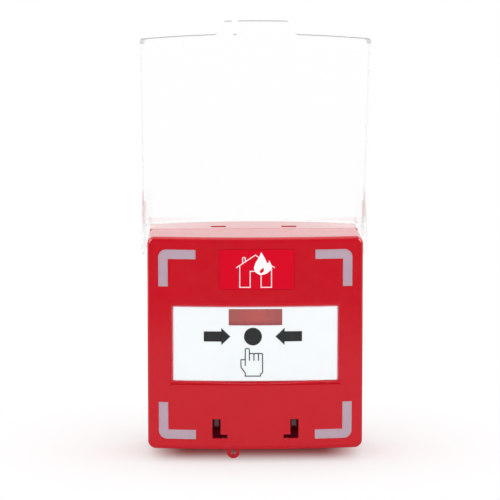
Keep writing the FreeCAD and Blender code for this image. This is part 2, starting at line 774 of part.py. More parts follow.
def rocker_ear(side_x):
    """An ear of the carrier that holds one end of the rocker's pin."""
    inner = rocker_half_length + ear_gap
    return box(side_x * inner, side_x * (inner + ear_width), rocker_y - rocker_tube_radius, tray_middle_y,
               rocker_z - rocker_tube_radius, rocker_z + rocker_tube_radius)


def chassis():
    """Grey carrier: tray on the box's bosses, plate guide, rocker ears and the two spring tongues."""
    body = box(-chassis_half_x, chassis_half_x, tray_front_y, parting_y, -chassis_half_z, chassis_half_z)
    body = body.fuse(guide_ring())
    for side_x in (-1, 1):
        body = body.fuse([rocker_ear(side_x), spring_tongue(side_x)])
    for side_x, side_z in quadrants.values():
        body = body.fuse(rod_y(side_x * board_screw_x, side_z * board_screw_z, board_screw_head_radius,
                               tray_middle_y, board_front_y))
    lens_room_x = lens_reach_x - lens_band - chassis_gap
    lens_room_z = lens_reach_z - lens_band - chassis_gap
    for side_x, side_z in quadrants.values():
        body = body.cut(rod_y(side_x * chassis_screw_x, side_z * chassis_screw_z, chassis_screw_radius + slip,
                              tray_front_y - past, parting_y + past))
        body = body.cut(rod_y(side_x * board_screw_x, side_z * board_screw_z, board_screw_radius + thread_fit,
                              tray_front_y - past, board_front_y + past))
        body = body.cut(box(side_x * lens_room_x, side_x * half_width,
                            tray_front_y - past, parting_y + past,
                            side_z * lens_room_z + lens_centre_z, side_z * half_height))
    switch_hole = box(-switch_length / 2 - chassis_gap, switch_length / 2 + chassis_gap,
                      tray_front_y - past, parting_y + past,
                      switch_centre_z - switch_width / 2 - chassis_gap,
                      switch_centre_z + switch_width / 2 + chassis_gap)
    lamp_hole = rod_y(0, indicator_z, status_led_radius + chassis_gap, tray_front_y - past, parting_y + past)
    pin_hole = rod_x(rocker_y, rocker_z, rocker_pin_radius + thread_fit, -half_width, half_width)
    return body.cut([switch_hole, lamp_hole, pin_hole]).removeSplitter()


def circuit_board():
    """Board behind the carrier, notched round the screw bosses."""
    half_x = chassis_half_x - slip
    half_z = chassis_half_z - slip
    board = box(-half_x, half_x, board_front_y, board_back_y, -half_z, half_z)
    notch = screw_boss_radius + chassis_gap
    near_y = board_front_y - past
    far_y = board_back_y + past
    for side_x, side_z in quadrants.values():
        board = board.cut(box(side_x * (chassis_screw_x - notch), side_x * half_width, near_y, far_y,
                              side_z * chassis_screw_z - notch, side_z * chassis_screw_z + notch))
        board = board.cut(rod_y(side_x * board_screw_x, side_z * board_screw_z, board_screw_radius + slip,
                                near_y, far_y))
    for lead_x in (-status_lead_pitch / 2, status_lead_pitch / 2):
        board = board.cut(rod_y(lead_x, indicator_z, status_lead_radius + thread_fit, near_y, far_y))
    return board


def corner_led(side_x, side_z):
    """A small square lamp on the board, behind the tail of its light guide."""
    x = side_x * (lens_reach_x - lens_band / 2)
    z = side_z * (lens_reach_z - lens_band / 2) + lens_centre_z
    top_y = board_front_y - led_height
    body = box(x - led_width / 2, x + led_width / 2, top_y, board_front_y,
               z - led_width / 2, z + led_width / 2)
    return body.cut(rod_y(x, z, led_well_radius, top_y - past, top_y + led_well_depth))


def status_led():
    """A round lamp on long leads behind the indicator."""
    tip_y = bow_y(0, indicator_depth) + plate_travel + status_led_gap
    base_y = tip_y + status_led_length
    body = rod_y(0, indicator_z, status_led_radius, tip_y + status_led_radius, base_y)
    dome = Part.makeSphere(status_led_radius, Vec(0, tip_y + status_led_radius, indicator_z))
    leads = [rod_y(x, indicator_z, status_lead_radius, base_y - slip, board_back_y)
             for x in (-status_lead_pitch / 2, status_lead_pitch / 2)]
    return joined(body, dome, *leads)


def switch_body():
    """Microswitch case with a well for the plunger and two ears for the lever's pin."""
    low_z = switch_centre_z - switch_width / 2
    high_z = switch_centre_z + switch_width / 2
    body = box(-switch_length / 2, switch_length / 2, switch_top_y, board_front_y, low_z, high_z)
    ear_half = 2 * lever_pin_radius
    ear_wall = (switch_width - lever_width) / 2 - slip
    for ear_z in (low_z, high_z - ear_wall):
        body = body.fuse(box(lever_pivot_x - ear_half, lever_pivot_x + ear_half, lever_pin_y - ear_half,
                             switch_top_y + past, ear_z, ear_z + ear_wall))
    body = body.cut(rod_z(lever_pivot_x, lever_pin_y, lever_pin_radius + lever_pin_fit,
                          low_z - past, high_z + past))
    well_half_x = plunger_length / 2 + plunger_fit
    well_half_z = plunger_width / 2 + plunger_fit
    well = box(plunger_x - well_half_x, plunger_x + well_half_x,
               switch_top_y - past, switch_top_y + plunger_length + plunger_travel + plunger_fit,
               switch_centre_z - well_half_z, switch_centre_z + well_half_z)
    return body.cut(well).removeSplitter()


def switch_plunger():
    """The button of the microswitch."""
    plunger = box(plunger_x - plunger_length / 2, plunger_x + plunger_length / 2,
                  switch_top_y - plunger_pressed - plunger_travel,
                  switch_top_y + plunger_length - plunger_travel,
                  switch_centre_z - plunger_width / 2, switch_centre_z + plunger_width / 2)
    top_edges = [edge for edge in edges_along(plunger, Vec(0, 0, 1)) if edge.Vertexes[0].Y < switch_top_y]
    return plunger.makeFillet(plunger_rounding, top_edges)


def switch_lever():
    """Metal lever with its pin, drawn pushed in and swung back under the plate's peg."""
    strip = box(lever_pivot_x, lever_pivot_x + lever_reach, lever_outer_y, lever_inner_y,
                switch_centre_z - lever_width / 2, switch_centre_z + lever_width / 2)
    pin = rod_z(lever_pivot_x, lever_pin_y, lever_pin_radius,
                switch_centre_z - switch_width / 2, switch_centre_z + switch_width / 2)
    lever = joined(strip, pin)
    lever.rotate(Vec(lever_pivot_x, lever_pin_y, 0), Vec(0, 0, 1), -math.degrees(lever_swing))
    return lever


def reset_rocker():
    """Rocker on a pin: upper fingers behind the skirt, lower fingers behind the feet of the key slots."""
    upper_z = face_centre_z - skirt_half_z + skirt_wall - guide_gap / 3
    nose_y = skirt_end_y + rocker_gap
    half_wall = rocker_finger_wall / 2
    fingers = []
    for side_x in (-1, 1):
        x0 = side_x * rocker_finger_x - rocker_finger_width / 2
        x1 = side_x * rocker_finger_x + rocker_finger_width / 2
        fingers.append(box(x0, x1, nose_y, nose_y + rocker_finger_wall, rocker_z, upper_z))
        fingers.append(box(x0, x1, rocker_y - half_wall, rocker_y + half_wall, key_bottom_z, rocker_z))
    tube = rod_x(rocker_y, rocker_z, rocker_tube_radius, -rocker_half_length, rocker_half_length)
    body = joined(tube, *fingers)
    return body.cut(rod_x(rocker_y, rocker_z, rocker_pin_radius + rocker_fit, -half_width, half_width))


def rocker_pin():
    """Steel pin of the rocker, held in the carrier's ears."""
    half = rocker_half_length + ear_gap + ear_width
    return rod_x(rocker_y, rocker_z, rocker_pin_radius, -half, half)


def terminal_places():
    """The x of each way of the terminal block."""
    return [(index - (terminal_ways - 1) / 2) * terminal_pitch for index in range(terminal_ways)]


def terminal_block():
    """Housing on the back of the board: a wire entry below and a screw well behind each way."""
    half = terminal_ways * terminal_pitch / 2
    rear_y = board_back_y + terminal_depth
    body = box(-half, half, board_back_y, rear_y, terminal_low_z, terminal_high_z)
    rear_edges = [edge for edge in edges_along(body, Vec(1, 0, 0)) if edge.Vertexes[0].Y > rear_y - slip]
    body = body.makeChamfer(terminal_chamfer, rear_edges)
    room = cage_size + 2 * clamp_gap
    floor_y = board_back_y + terminal_floor
    for x in terminal_places():
        body = body.cut(box(x - room / 2, x + room / 2, floor_y, floor_y + room,
                            terminal_low_z - past, terminal_high_z - terminal_roof))
        body = body.cut(rod_y(x, terminal_z, terminal_screw_radius + slip,
                              floor_y + clamp_gap, rear_y + past))
    return body


def terminal_clamps():
    """Brass cages, one in each way of the terminal block."""
    near_y = board_back_y + terminal_floor + clamp_gap
    far_y = near_y + cage_size
    low_z = terminal_low_z + terminal_floor
    high_z = terminal_high_z - terminal_roof - clamp_gap
    cages = []
    for x in terminal_places():
        cage = box(x - cage_size / 2, x + cage_size / 2, near_y, far_y, low_z, high_z)
        cage = cage.cut(box(x - terminal_entry / 2, x + terminal_entry / 2,
                            near_y + clamp_wall, far_y - clamp_wall, low_z - past, high_z + past))
        screw_hole = rod_y(x, terminal_z, terminal_screw_radius + thread_fit,
                           near_y + clamp_wall, far_y + past)
        cages.append(cage.cut(screw_hole))
    return Part.makeCompound(cages)


def terminal_screws():
    """Clamp screws of the terminals, slotted for a small driver."""
    rear_y = board_back_y + terminal_depth - terminal_floor
    screws = []
    for x in terminal_places():
        screw = rod_y(x, terminal_z, terminal_screw_radius, rear_y - terminal_screw_length, rear_y)
        slot = box(x - terminal_screw_radius, x + terminal_screw_radius, rear_y - screw_slot, rear_y + past,
                   terminal_z - screw_slot / 2, terminal_z + screw_slot / 2)
        screws.append(screw.cut(slot))
    return Part.makeCompound(screws)


def board_resistors():
    """Resistors on the back of the board, each with two bent leads."""
    y = board_back_y + resistor_radius + slip
    reach = resistor_length / 2 + 2 * resistor_lead_radius
    ends = (resistor_z - reach, resistor_z + reach)
    parts = []
    for index in range(resistor_count):
        x = (index - (resistor_count - 1) / 2) * resistor_pitch
        body = rod_z(x, y, resistor_radius, resistor_z - resistor_length / 2,
                     resistor_z + resistor_length / 2)
        lead = rod_z(x, y, resistor_lead_radius, *ends)
        legs = [rod_y(x, end_z, resistor_lead_radius, board_back_y, y) for end_z in ends]
        elbows = [Part.makeSphere(resistor_lead_radius, Vec(x, y, end_z)) for end_z in ends]
        parts.append(joined(body, lead, *legs, *elbows))
    return Part.makeCompound(parts)


def cable_grommet():
    """Rubber grommet in the back wall, sunk so that nothing stands out of the wall face."""
    outer = entry_radius + grommet_flange
    inside = rod_y(0, entry_z, outer, -back_wall - seat_gap - grommet_flange_wall, -back_wall - seat_gap)
    neck = rod_y(0, entry_z, entry_radius - seat_gap,
                 -back_wall - grommet_flange_wall, -entry_recess_depth + slip)
    outside = rod_y(0, entry_z, outer, -entry_recess_depth, -entry_recess_depth + grommet_flange_wall)
    return joined(inside, neck, outside).cut(rod_y(0, entry_z, grommet_bore_radius, parting_y, past))


def slotted_screw(x, z, seat_y, toward, shank_radius, shank_length, head_radius, head_height):
    """A screw along Y with a slotted head; toward is the way its head faces."""
    head_y = seat_y + toward * head_height
    head = rod_y(x, z, head_radius, seat_y, head_y)
    head = head.makeChamfer(screw_head_chamfer, edges_at_y(head, head_y))
    shank = rod_y(x, z, shank_radius, seat_y, seat_y - toward * shank_length)
    slot = box(x - head_radius, x + head_radius, head_y + toward, head_y - toward * screw_slot,
               z - screw_slot / 2, z + screw_slot / 2)
    return joined(head, shank).cut(slot)


def chassis_screws():
    """Four screws from the front through the tray into the box's bosses."""
    length = chassis_wall + chassis_screw_depth - chassis_screw_end_gap
    return Part.makeCompound([
        slotted_screw(side_x * chassis_screw_x, side_z * chassis_screw_z, tray_front_y, -1,
                      chassis_screw_radius, length, chassis_screw_head_radius, chassis_screw_head_height)
        for side_x, side_z in quadrants.values()])


def board_screws():
    """Four screws from behind through the board into the carrier's posts."""
    length = board_thickness + board_standoff + chassis_wall / 2
    return Part.makeCompound([
        slotted_screw(side_x * board_screw_x, side_z * board_screw_z, board_back_y, 1,
                      board_screw_radius, length, board_screw_head_radius, board_screw_head_height)
        for side_x, side_z in quadrants.values()])


write("back_box", back_box())
write("front_cover", front_cover())
for corner, (side_x, side_z) in quadrants.items():
    write("corner_lens_" + corner, corner_lens(side_x, side_z))
    write("corner_led_" + corner, corner_led(side_x, side_z))
write("pictogram_label", pictogram_label())
write("press_plate", press_plate())
write("indicator_lens", indicator_lens())
write("clear_cover", clear_cover())
write("chassis", chassis())
write("circuit_board", circuit_board())
write("status_led", status_led())
write("switch_body", switch_body())
write("switch_plunger", switch_plunger())
write("switch_lever", switch_lever())
write("reset_rocker", reset_rocker())
write("rocker_pin", rocker_pin())
write("terminal_block", terminal_block())
write("terminal_clamps", terminal_clamps())
write("terminal_screws", terminal_screws())
write("board_resistors", board_resistors())
write("cable_grommet", cable_grommet())
write("chassis_screws", chassis_screws())
write("board_screws", board_screws())
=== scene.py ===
import json
import math

import bpy
from bpy.props import FloatProperty, FloatVectorProperty, PointerProperty
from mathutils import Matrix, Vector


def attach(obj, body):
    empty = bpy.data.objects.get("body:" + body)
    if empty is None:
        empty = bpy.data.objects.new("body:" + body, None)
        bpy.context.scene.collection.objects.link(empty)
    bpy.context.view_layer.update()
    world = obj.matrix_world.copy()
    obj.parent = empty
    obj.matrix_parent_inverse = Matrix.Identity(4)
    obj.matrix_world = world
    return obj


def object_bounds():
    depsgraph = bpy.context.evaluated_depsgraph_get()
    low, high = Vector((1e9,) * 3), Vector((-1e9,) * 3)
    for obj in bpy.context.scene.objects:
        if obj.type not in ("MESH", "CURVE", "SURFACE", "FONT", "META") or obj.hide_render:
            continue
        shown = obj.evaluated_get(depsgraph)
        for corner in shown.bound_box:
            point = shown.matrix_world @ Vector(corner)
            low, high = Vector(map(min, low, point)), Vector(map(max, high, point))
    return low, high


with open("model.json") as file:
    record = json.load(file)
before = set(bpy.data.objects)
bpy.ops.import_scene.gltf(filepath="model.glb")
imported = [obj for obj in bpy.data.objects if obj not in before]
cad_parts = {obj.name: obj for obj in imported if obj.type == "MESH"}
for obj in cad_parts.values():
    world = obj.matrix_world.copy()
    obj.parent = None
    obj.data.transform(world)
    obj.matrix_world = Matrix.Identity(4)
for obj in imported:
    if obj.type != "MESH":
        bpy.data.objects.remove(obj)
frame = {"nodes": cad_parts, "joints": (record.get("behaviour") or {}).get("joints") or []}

bl_info = {
    "name": "Fire alarm call point",
    "version": (1, 0, 0),
    "blender": (4, 5, 0),
    "location": "View3D > Sidebar > Call point",
    "description": "Finishes the surfaces of a call point and sets it on a pale floor",
    "category": "Object",
}

CAD_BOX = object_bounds()
MM = 0.001
DRAWING_PLANE = CAD_BOX[0][1] - 2 * MM      # flat prints are drawn here, in front of the face
PRINT_DEPTH = 0.2 * MM                      # how deep a print's own solid goes
STRIP_WIDTH = 1.5 * MM                      # flat prints are cut this narrow, to follow the bow
FLOOR_Z = CAD_BOX[0][2] - 1.2 * MM


# Settings

def length(name, description, default):
    return FloatProperty(
        name=name, description=description, default=default, unit="LENGTH", precision=5
    )


def amount(name, description, default, unit="NONE"):
    return FloatProperty(name=name, description=description, default=default, min=0.0, unit=unit)


def colour(name, description, default):
    return FloatVectorProperty(
        name=name, description=description, default=default, subtype="COLOR", size=3, min=0.0, max=1.0
    )


class CALLPOINT_PG_plastics(bpy.types.PropertyGroup):
    housing_red: colour("Housing red", "Moulded red of the front cover and the back box",
                        (0.555, 0.003, 0.012))
    label_red: colour("Label red", "Printed red of the glossy label", (0.645, 0.0025, 0.018))
    window_tint: colour("Window tint", "Pale mauve of the corner windows", (0.48, 0.355, 0.43))
    plate_white: colour("Plate white", "Moulded white of the press plate", (0.875, 0.935, 0.965))
    indicator_red: colour("Indicator red", "Dull red of the unlit indicator", (0.41, 0.105, 0.1))
    carrier_grey: colour("Carrier grey", "Grey of the inner carrier", (0.125, 0.11, 0.11))
    clear_tint: colour("Clear tint", "Tint of the clear cover", (0.985, 0.99, 0.992))


class CALLPOINT_PG_prints(bpy.types.PropertyGroup):
    ink: colour("Ink", "Dark grey ink on the press plate", (0.025, 0.028, 0.029))
    ink_on_label: colour("Label ink", "Pale ink of the pictogram", (0.93, 0.74, 0.77))
    ink_on_flame: colour("Flame ink", "White ink of the flame", (0.95, 0.93, 0.935))
    film: length("Film height", "How far a print stands above its surface", 0.03 * MM)
    middle: length("Print middle", "The dot's place from side to side", -1.12 * MM)
    dot_radius: length("Dot radius", "Radius of the dot", 3.94 * MM)
    dot_height: length("Dot height", "Height of the dot's middle", 3.5 * MM)
    arrow_tail: length("Arrow tail", "Dot's middle to the tail of an arrow", 21.6 * MM)
    arrow_neck: length("Arrow neck", "Dot's middle to the base of an arrow's head", 13.9 * MM)
    arrow_tip: length("Arrow tip", "Dot's middle to the tip of an arrow", 9.92 * MM)
    arrow_shaft: length("Arrow shaft", "Height of an arrow's shaft", 4.5 * MM)
    arrow_head: length("Arrow head", "Height of an arrow's head", 7.6 * MM)
    hand_line: length("Hand line", "Width of the hand's outline", 0.45 * MM)
    house_line: length("House line", "Width of the lines of the house", 0.44 * MM)


class CALLPOINT_PG_stage(bpy.types.PropertyGroup):
    camera_place: FloatVectorProperty(
        name="Camera place", description="Where the camera stands",
        default=(-0.0269, -1.2, 0.1979), subtype="TRANSLATION", size=3)
    camera_turn: FloatProperty(
        name="Camera turn", description="Turn of the camera towards the right",
        default=math.radians(1.219), subtype="ANGLE")
    camera_dip: FloatProperty(
        name="Camera dip", description="How far the camera looks down",
        default=math.radians(7.72), subtype="ANGLE")
    camera_lens: amount("Camera lens", "Focal length in millimetres", 191.2, "CAMERA")
    top_light: amount("Top light", "Power of the lamp overhead in watts", 1.6, "POWER")
    near_light: amount("Near light", "Strength of the room light from above the camera", 1.2)
    far_light: amount("Far light", "Strength of the room light from behind and below", 0.65)
    dim_side: amount("Dim side", "Strength of the room in front, as gloss mirrors it", 0.065)
    side_boxes: amount("Side boxes", "Strength of the soft boxes at the sides, as gloss mirrors them",
                       12.0)


# Node helpers

def feed(tree, node, inputs):
    """Links a node's inputs to other sockets, or sets their own values."""
    for name, value in inputs.items():
        socket = node.inputs[name]
        if isinstance(value, bpy.types.NodeSocket):
            tree.links.new(value, socket)
        elif socket.type == "RGBA":
            socket.default_value = (*value[:3], 1.0)
        else:
            socket.default_value = value


def put(tree, kind, inputs=None, **settings):
    """Adds a node, sets what it is told and feeds its inputs."""
    made = tree.nodes.new(kind)
    for name, value in settings.items():
        setattr(made, name, value)
    feed(tree, made, inputs or {})
    return made


def math_of(tree, operation, first, second=0.0, clamp=False):
    return put(tree, "ShaderNodeMath", {0: first, 1: second}, operation=operation,
               use_clamp=clamp).outputs[0]


def times(tree, first, second):
    return math_of(tree, "MULTIPLY", first, second)


def dot_product(tree, first, second):
    return put(tree, "ShaderNodeVectorMath", {0: first, 1: second},
               operation="DOT_PRODUCT").outputs["Value"]


def axes_of(tree, vector):
    return put(tree, "ShaderNodeSeparateXYZ", {"Vector": vector}).outputs


def stretch(tree, value, low, high, to_low=0.0, to_high=1.0, curve="LINEAR"):
    """Spreads the part of a value between low and high over to_low and to_high."""
    return put(tree, "ShaderNodeMapRange", {
        "Value": value, "From Min": low, "From Max": high, "To Min": to_low, "To Max": to_high,
    }, interpolation_type=curve).outputs["Result"]


def blend_colours(tree, share, first, second, blend_type="MIX"):
    return put(tree, "ShaderNodeMix", {0: share, 6: first, 7: second}, data_type="RGBA",
               blend_type=blend_type).outputs[2]


def blend_values(tree, share, first, second):
    return put(tree, "ShaderNodeMix", {0: share, 2: first, 3: second}, data_type="FLOAT").outputs[0]


def noise(tree, place, scale, detail=2.0, roughness=0.5):
    return put(tree, "ShaderNodeTexNoise", {
        "Vector": place, "Scale": scale, "Detail": detail, "Roughness": roughness,
    }).outputs["Fac"]


def squeeze(tree, place, x=1.0, y=1.0, z=1.0):
    """Scales a place along its axes, to draw a pattern out."""
    return put(tree, "ShaderNodeMapping", {"Vector": place, "Scale": (x, y, z)}).outputs["Vector"]


def scaled(base, factors):
    """A colour with each of its parts times a factor."""
    return tuple(part * factor for part, factor in zip(base, factors))


def group(name, inputs, outputs):
    """An empty node group with named sockets, and its input and output nodes."""
    tree = bpy.data.node_groups.new(name, "ShaderNodeTree")
    for label, kind, default in inputs:
        socket = tree.interface.new_socket(label, in_out="INPUT", socket_type=kind)
        if default is not None:
            socket.default_value = default
    for label, kind in outputs:
        tree.interface.new_socket(label, in_out="OUTPUT", socket_type=kind)
    return tree, tree.nodes.new("NodeGroupInput"), tree.nodes.new("NodeGroupOutput")


def placed_group(tree, name, build, inputs):
    """Puts the group called name in a material, and builds it the first time."""
    kept = bpy.data.node_groups.get(name) or build(name)
    return put(tree, "ShaderNodeGroup", inputs, node_tree=kept).outputs


# Shared effects

def build_mottle(name):
    """Soft unevenness of a pigment in moulded plastic, with faint flow streaks."""
    tree, given, out = group(name, [
        ("Place", "NodeSocketVector", None), ("Colour", "NodeSocketColor", (1, 1, 1, 1)),
        ("Strength", "NodeSocketFloat", 0.06), ("Scale", "NodeSocketFloat", 45.0),
    ], [("Colour", "NodeSocketColor")])
    place, scale = given.outputs["Place"], given.outputs["Scale"]
    cloud = noise(tree, place, scale, detail=4.0, roughness=0.6)
    streak = noise(tree, squeeze(tree, place, 1.0, 1.0, 0.22), times(tree, scale, 5.0))
    swing = stretch(tree, blend_values(tree, 0.3, cloud, streak), 0.3, 0.7, -0.5, 0.5)
    factor = math_of(tree, "ADD", times(tree, swing, given.outputs["Strength"]), 1.0)
    shaded = put(tree, "ShaderNodeVectorMath", {0: given.outputs["Colour"], 1: factor},
                 operation="MULTIPLY").outputs[0]
    feed(tree, out, {"Colour": shaded})
    return tree


def build_grain(name):
    """Fine eroded texture of a mould: its height from 0 to 1, and a roughness that goes with it."""
    tree, given, out = group(name, [
        ("Place", "NodeSocketVector", None), ("Scale", "NodeSocketFloat", 2600.0),
        ("Roughness", "NodeSocketFloat", 0.35), ("Spread", "NodeSocketFloat", 0.08),
    ], [("Height", "NodeSocketFloat"), ("Roughness", "NodeSocketFloat")])
    place, scale = given.outputs["Place"], given.outputs["Scale"]
    fine = noise(tree, place, scale, detail=3.0, roughness=0.65)
    coarse = noise(tree, place, times(tree, scale, 0.07), detail=3.0)
    polish = times(tree, math_of(tree, "SUBTRACT", coarse, 0.5), given.outputs["Spread"])
    rough = math_of(tree, "ADD", given.outputs["Roughness"], times(tree, polish, 2.0), clamp=True)
    feed(tree, out, {"Height": blend_values(tree, 0.25, fine, coarse), "Roughness": rough})
    return tree


def build_edges(name):
    """Mask of the narrow edges of a form, broken up as handling breaks them, for edge colour that is
    partly rubbed wear, partly painted highlight.
    """
    tree, given, out = group(name, [
        ("Place", "NodeSocketVector", None), ("Scale", "NodeSocketFloat", 400.0),
    ], [("Mask", "NodeSocketFloat")])
    rounded = put(tree, "ShaderNodeBevel", {"Radius": 0.7 * MM}, samples=4).outputs["Normal"]
    plain = tree.nodes.new("ShaderNodeNewGeometry").outputs["Normal"]
    turned = math_of(tree, "SUBTRACT", 1.0, dot_product(tree, rounded, plain))
    patches = noise(tree, given.outputs["Place"], given.outputs["Scale"], 3.0)
    mask = times(tree, stretch(tree, turned, 0.03, 0.3), stretch(tree, patches, 0.35, 0.65))
    feed(tree, out, {"Mask": mask})
    return tree


def build_painted_glow(name):
    """Painted glow: dim red emission, seen only where a surface is shut in, standing in for light that a
    thin red moulding lets in.
    """
    tree, given, out = group(name, [("Reach", "NodeSocketFloat", 30 * MM)],
                             [("Colour", "NodeSocketColor")])
    open_share = put(tree, "ShaderNodeAmbientOcclusion", {"Distance": given.outputs["Reach"]},
                     samples=4).outputs["AO"]
    shut = math_of(tree, "POWER", math_of(tree, "SUBTRACT", 1.0, open_share), 4.0)
    feed(tree, out, {"Colour": blend_colours(tree, shut, (0.0, 0.0, 0.0), (0.055, 0.0014, 0.009))})
    return tree


def build_scuffs(name):
    """Mask of thin hair scratches in two directions."""
    tree, given, out = group(name, [
        ("Place", "NodeSocketVector", None), ("Scale", "NodeSocketFloat", 90.0),
    ], [("Mask", "NodeSocketFloat")])
    place, scale = given.outputs["Place"], given.outputs["Scale"]
    masks = []
    for turn in (0.5, -0.9):
        turned = put(tree, "ShaderNodeMapping", {
            "Vector": place, "Rotation": (0.0, turn, 0.0), "Scale": (1.0, 1.0, 0.05),
        }).outputs["Vector"]
        lines = noise(tree, turned, times(tree, scale, 14.0), 1.0)
        where = stretch(tree, noise(tree, place, scale, 2.0), 0.52, 0.62)
        masks.append(times(tree, stretch(tree, lines, 0.68, 0.74), where))
    feed(tree, out, {"Mask": math_of(tree, "MAXIMUM", *masks)})
    return tree


def mottled(tree, place, base, strength, scale=45.0):
    """A colour with the unevenness of its pigment."""
    return placed_group(tree, "pigment_mottle", build_mottle, {
        "Place": place, "Colour": base, "Strength": strength, "Scale": scale,
    })["Colour"]


def grained(tree, place, scale, roughness, spread=0.08):
    """The height and the roughness of a mould's fine texture."""
    skin = placed_group(tree, "mould_grain", build_grain, {
        "Place": place, "Scale": scale, "Roughness": roughness, "Spread": spread,
    })
    return skin["Height"], skin["Roughness"]


def edge_wear_and_light_mask(tree, place):
    """Mask of the edges whose paler colour is partly rubbed wear, partly painted highlight."""
    return placed_group(tree, "rubbed_edges", build_edges, {"Place": place})["Mask"]


# Materials

def new_material(name):
    """A material with its shader, its node tree and the place on the object."""
    made = bpy.data.materials.new(name)
    made.use_nodes = True
    tree = made.node_tree
    shader = tree.nodes["Principled BSDF"]
    place = tree.nodes.new("ShaderNodeTexCoord").outputs["Object"]
    return made, tree, shader, place


def bump(tree, shader, height, distance, strength=1.0):
    raised = put(tree, "ShaderNodeBump", {"Height": height, "Distance": distance, "Strength": strength})
    feed(tree, shader, {"Normal": raised.outputs["Normal"]})


def show(tree, surface):
    """Makes a mixed surface the one that the material shows."""
    feed(tree, tree.nodes["Material Output"], {"Surface": surface.outputs[0]})


def moulded(name, base, roughness=0.35, mottle=0.06, grain=2600.0, depth=0.012 * MM, edge_wear_and_light=None,
            coat=0.0, subsurface=0.0, shine=0.5, tones=None, painted_glow=0.0, reach=30 * MM):
    """Moulded plastic: uneven pigment, fine texture, edges paler partly as rubbed wear and partly as
    painted highlight, and a painted red glow where it is shut in.
    """
    made, tree, shader, place = new_material(name)
    paint = mottled(tree, place, tones(tree, place, base) if tones else base, mottle)
    height, rough = grained(tree, place, grain, roughness)
    # Edge colour: partly rubbed wear, partly painted light at the edges
    if edge_wear_and_light:
        edge = edge_wear_and_light_mask(tree, place)
        paint = blend_colours(tree, times(tree, edge, 0.5), paint, edge_wear_and_light)
        rough = math_of(tree, "SUBTRACT", rough, times(tree, edge, 0.1))
    feed(tree, shader, {
        "Base Color": paint, "Roughness": rough, "IOR": 1.5, "Specular IOR Level": shine,
        "Coat Weight": coat, "Coat Roughness": 0.12,
    })
    bump(tree, shader, height, depth)
    # Painted glow: red emission where the surface is shut in
    if painted_glow:
        inside = placed_group(tree, "light_through_shell", build_painted_glow, {"Reach": reach})
        feed(tree, shader, {"Emission Color": inside["Colour"], "Emission Strength": painted_glow})
    if subsurface:
        feed(tree, shader, {
            "Subsurface Weight": subsurface, "Subsurface Radius": (1.0, 0.8, 0.7),
            "Subsurface Scale": 0.8 * MM,
        })
    return made


def painted_groove_light(tree, place, base):
    """Painted light: brighter red in the groove under the window, standing in for light that comes
    through the thin lip above.
    """
    groove_z, half_height, half_length = -17.9 * MM, 0.32 * MM, 37.8 * MM
    at = axes_of(tree, place)
    from_middle = math_of(tree, "ABSOLUTE", math_of(tree, "SUBTRACT", at["Z"], groove_z))
    level = stretch(tree, from_middle, half_height + 0.04 * MM, half_height)
    along = stretch(tree, math_of(tree, "ABSOLUTE", at["X"]), half_length + 0.1 * MM, half_length)
    # painted light colour of the groove
    return blend_colours(tree, times(tree, level, along), base, (0.8, 0.003, 0.013))


def indicator_tones(tree, place, base):
    """Brighter in the middle, darker and bluer along the lower edge, greyer along the upper."""
    heights = [corner[2] for corner in frame["nodes"]["indicator_lens"].bound_box]
    low_z, high_z = min(heights), max(heights)
    at = axes_of(tree, place)
    middle = stretch(tree, math_of(tree, "ABSOLUTE", at["X"]), 10 * MM, 1 * MM)
    paint = blend_colours(tree, middle, base, scaled(base, (1.22, 1.02, 1.02)))
    low = stretch(tree, at["Z"], low_z + 2.6 * MM, low_z + 0.4 * MM)
    paint = blend_colours(tree, low, paint, scaled(base, (0.84, 0.66, 0.9)))
    high = stretch(tree, at["Z"], high_z - 0.8 * MM, high_z - 0.3 * MM)
    return blend_colours(tree, high, paint, scaled(base, (0.66, 1.0, 1.15)))


def metal(name, base, roughness=0.3, brushed=(1.0, 1.0, 0.1), tarnish=None):
    """Bare metal with drawn or turned lines and a patchy tarnish."""
    made, tree, shader, place = new_material(name)
    lines = noise(tree, squeeze(tree, place, *brushed), 6000.0, 3.0)
    patches = stretch(tree, noise(tree, place, 500.0, 4.0), 0.4, 0.7)
    paint = blend_colours(tree, patches, base, tarnish or scaled(base, (0.7, 0.7, 0.7)))
    drawn = stretch(tree, lines, 0.3, 0.7, roughness - 0.08, roughness + 0.1)
    rough = math_of(tree, "ADD", drawn, times(tree, patches, 0.12), clamp=True)
    feed(tree, shader, {"Base Color": paint, "Roughness": rough, "Metallic": 1.0})
    bump(tree, shader, lines, 0.006 * MM)
    return made


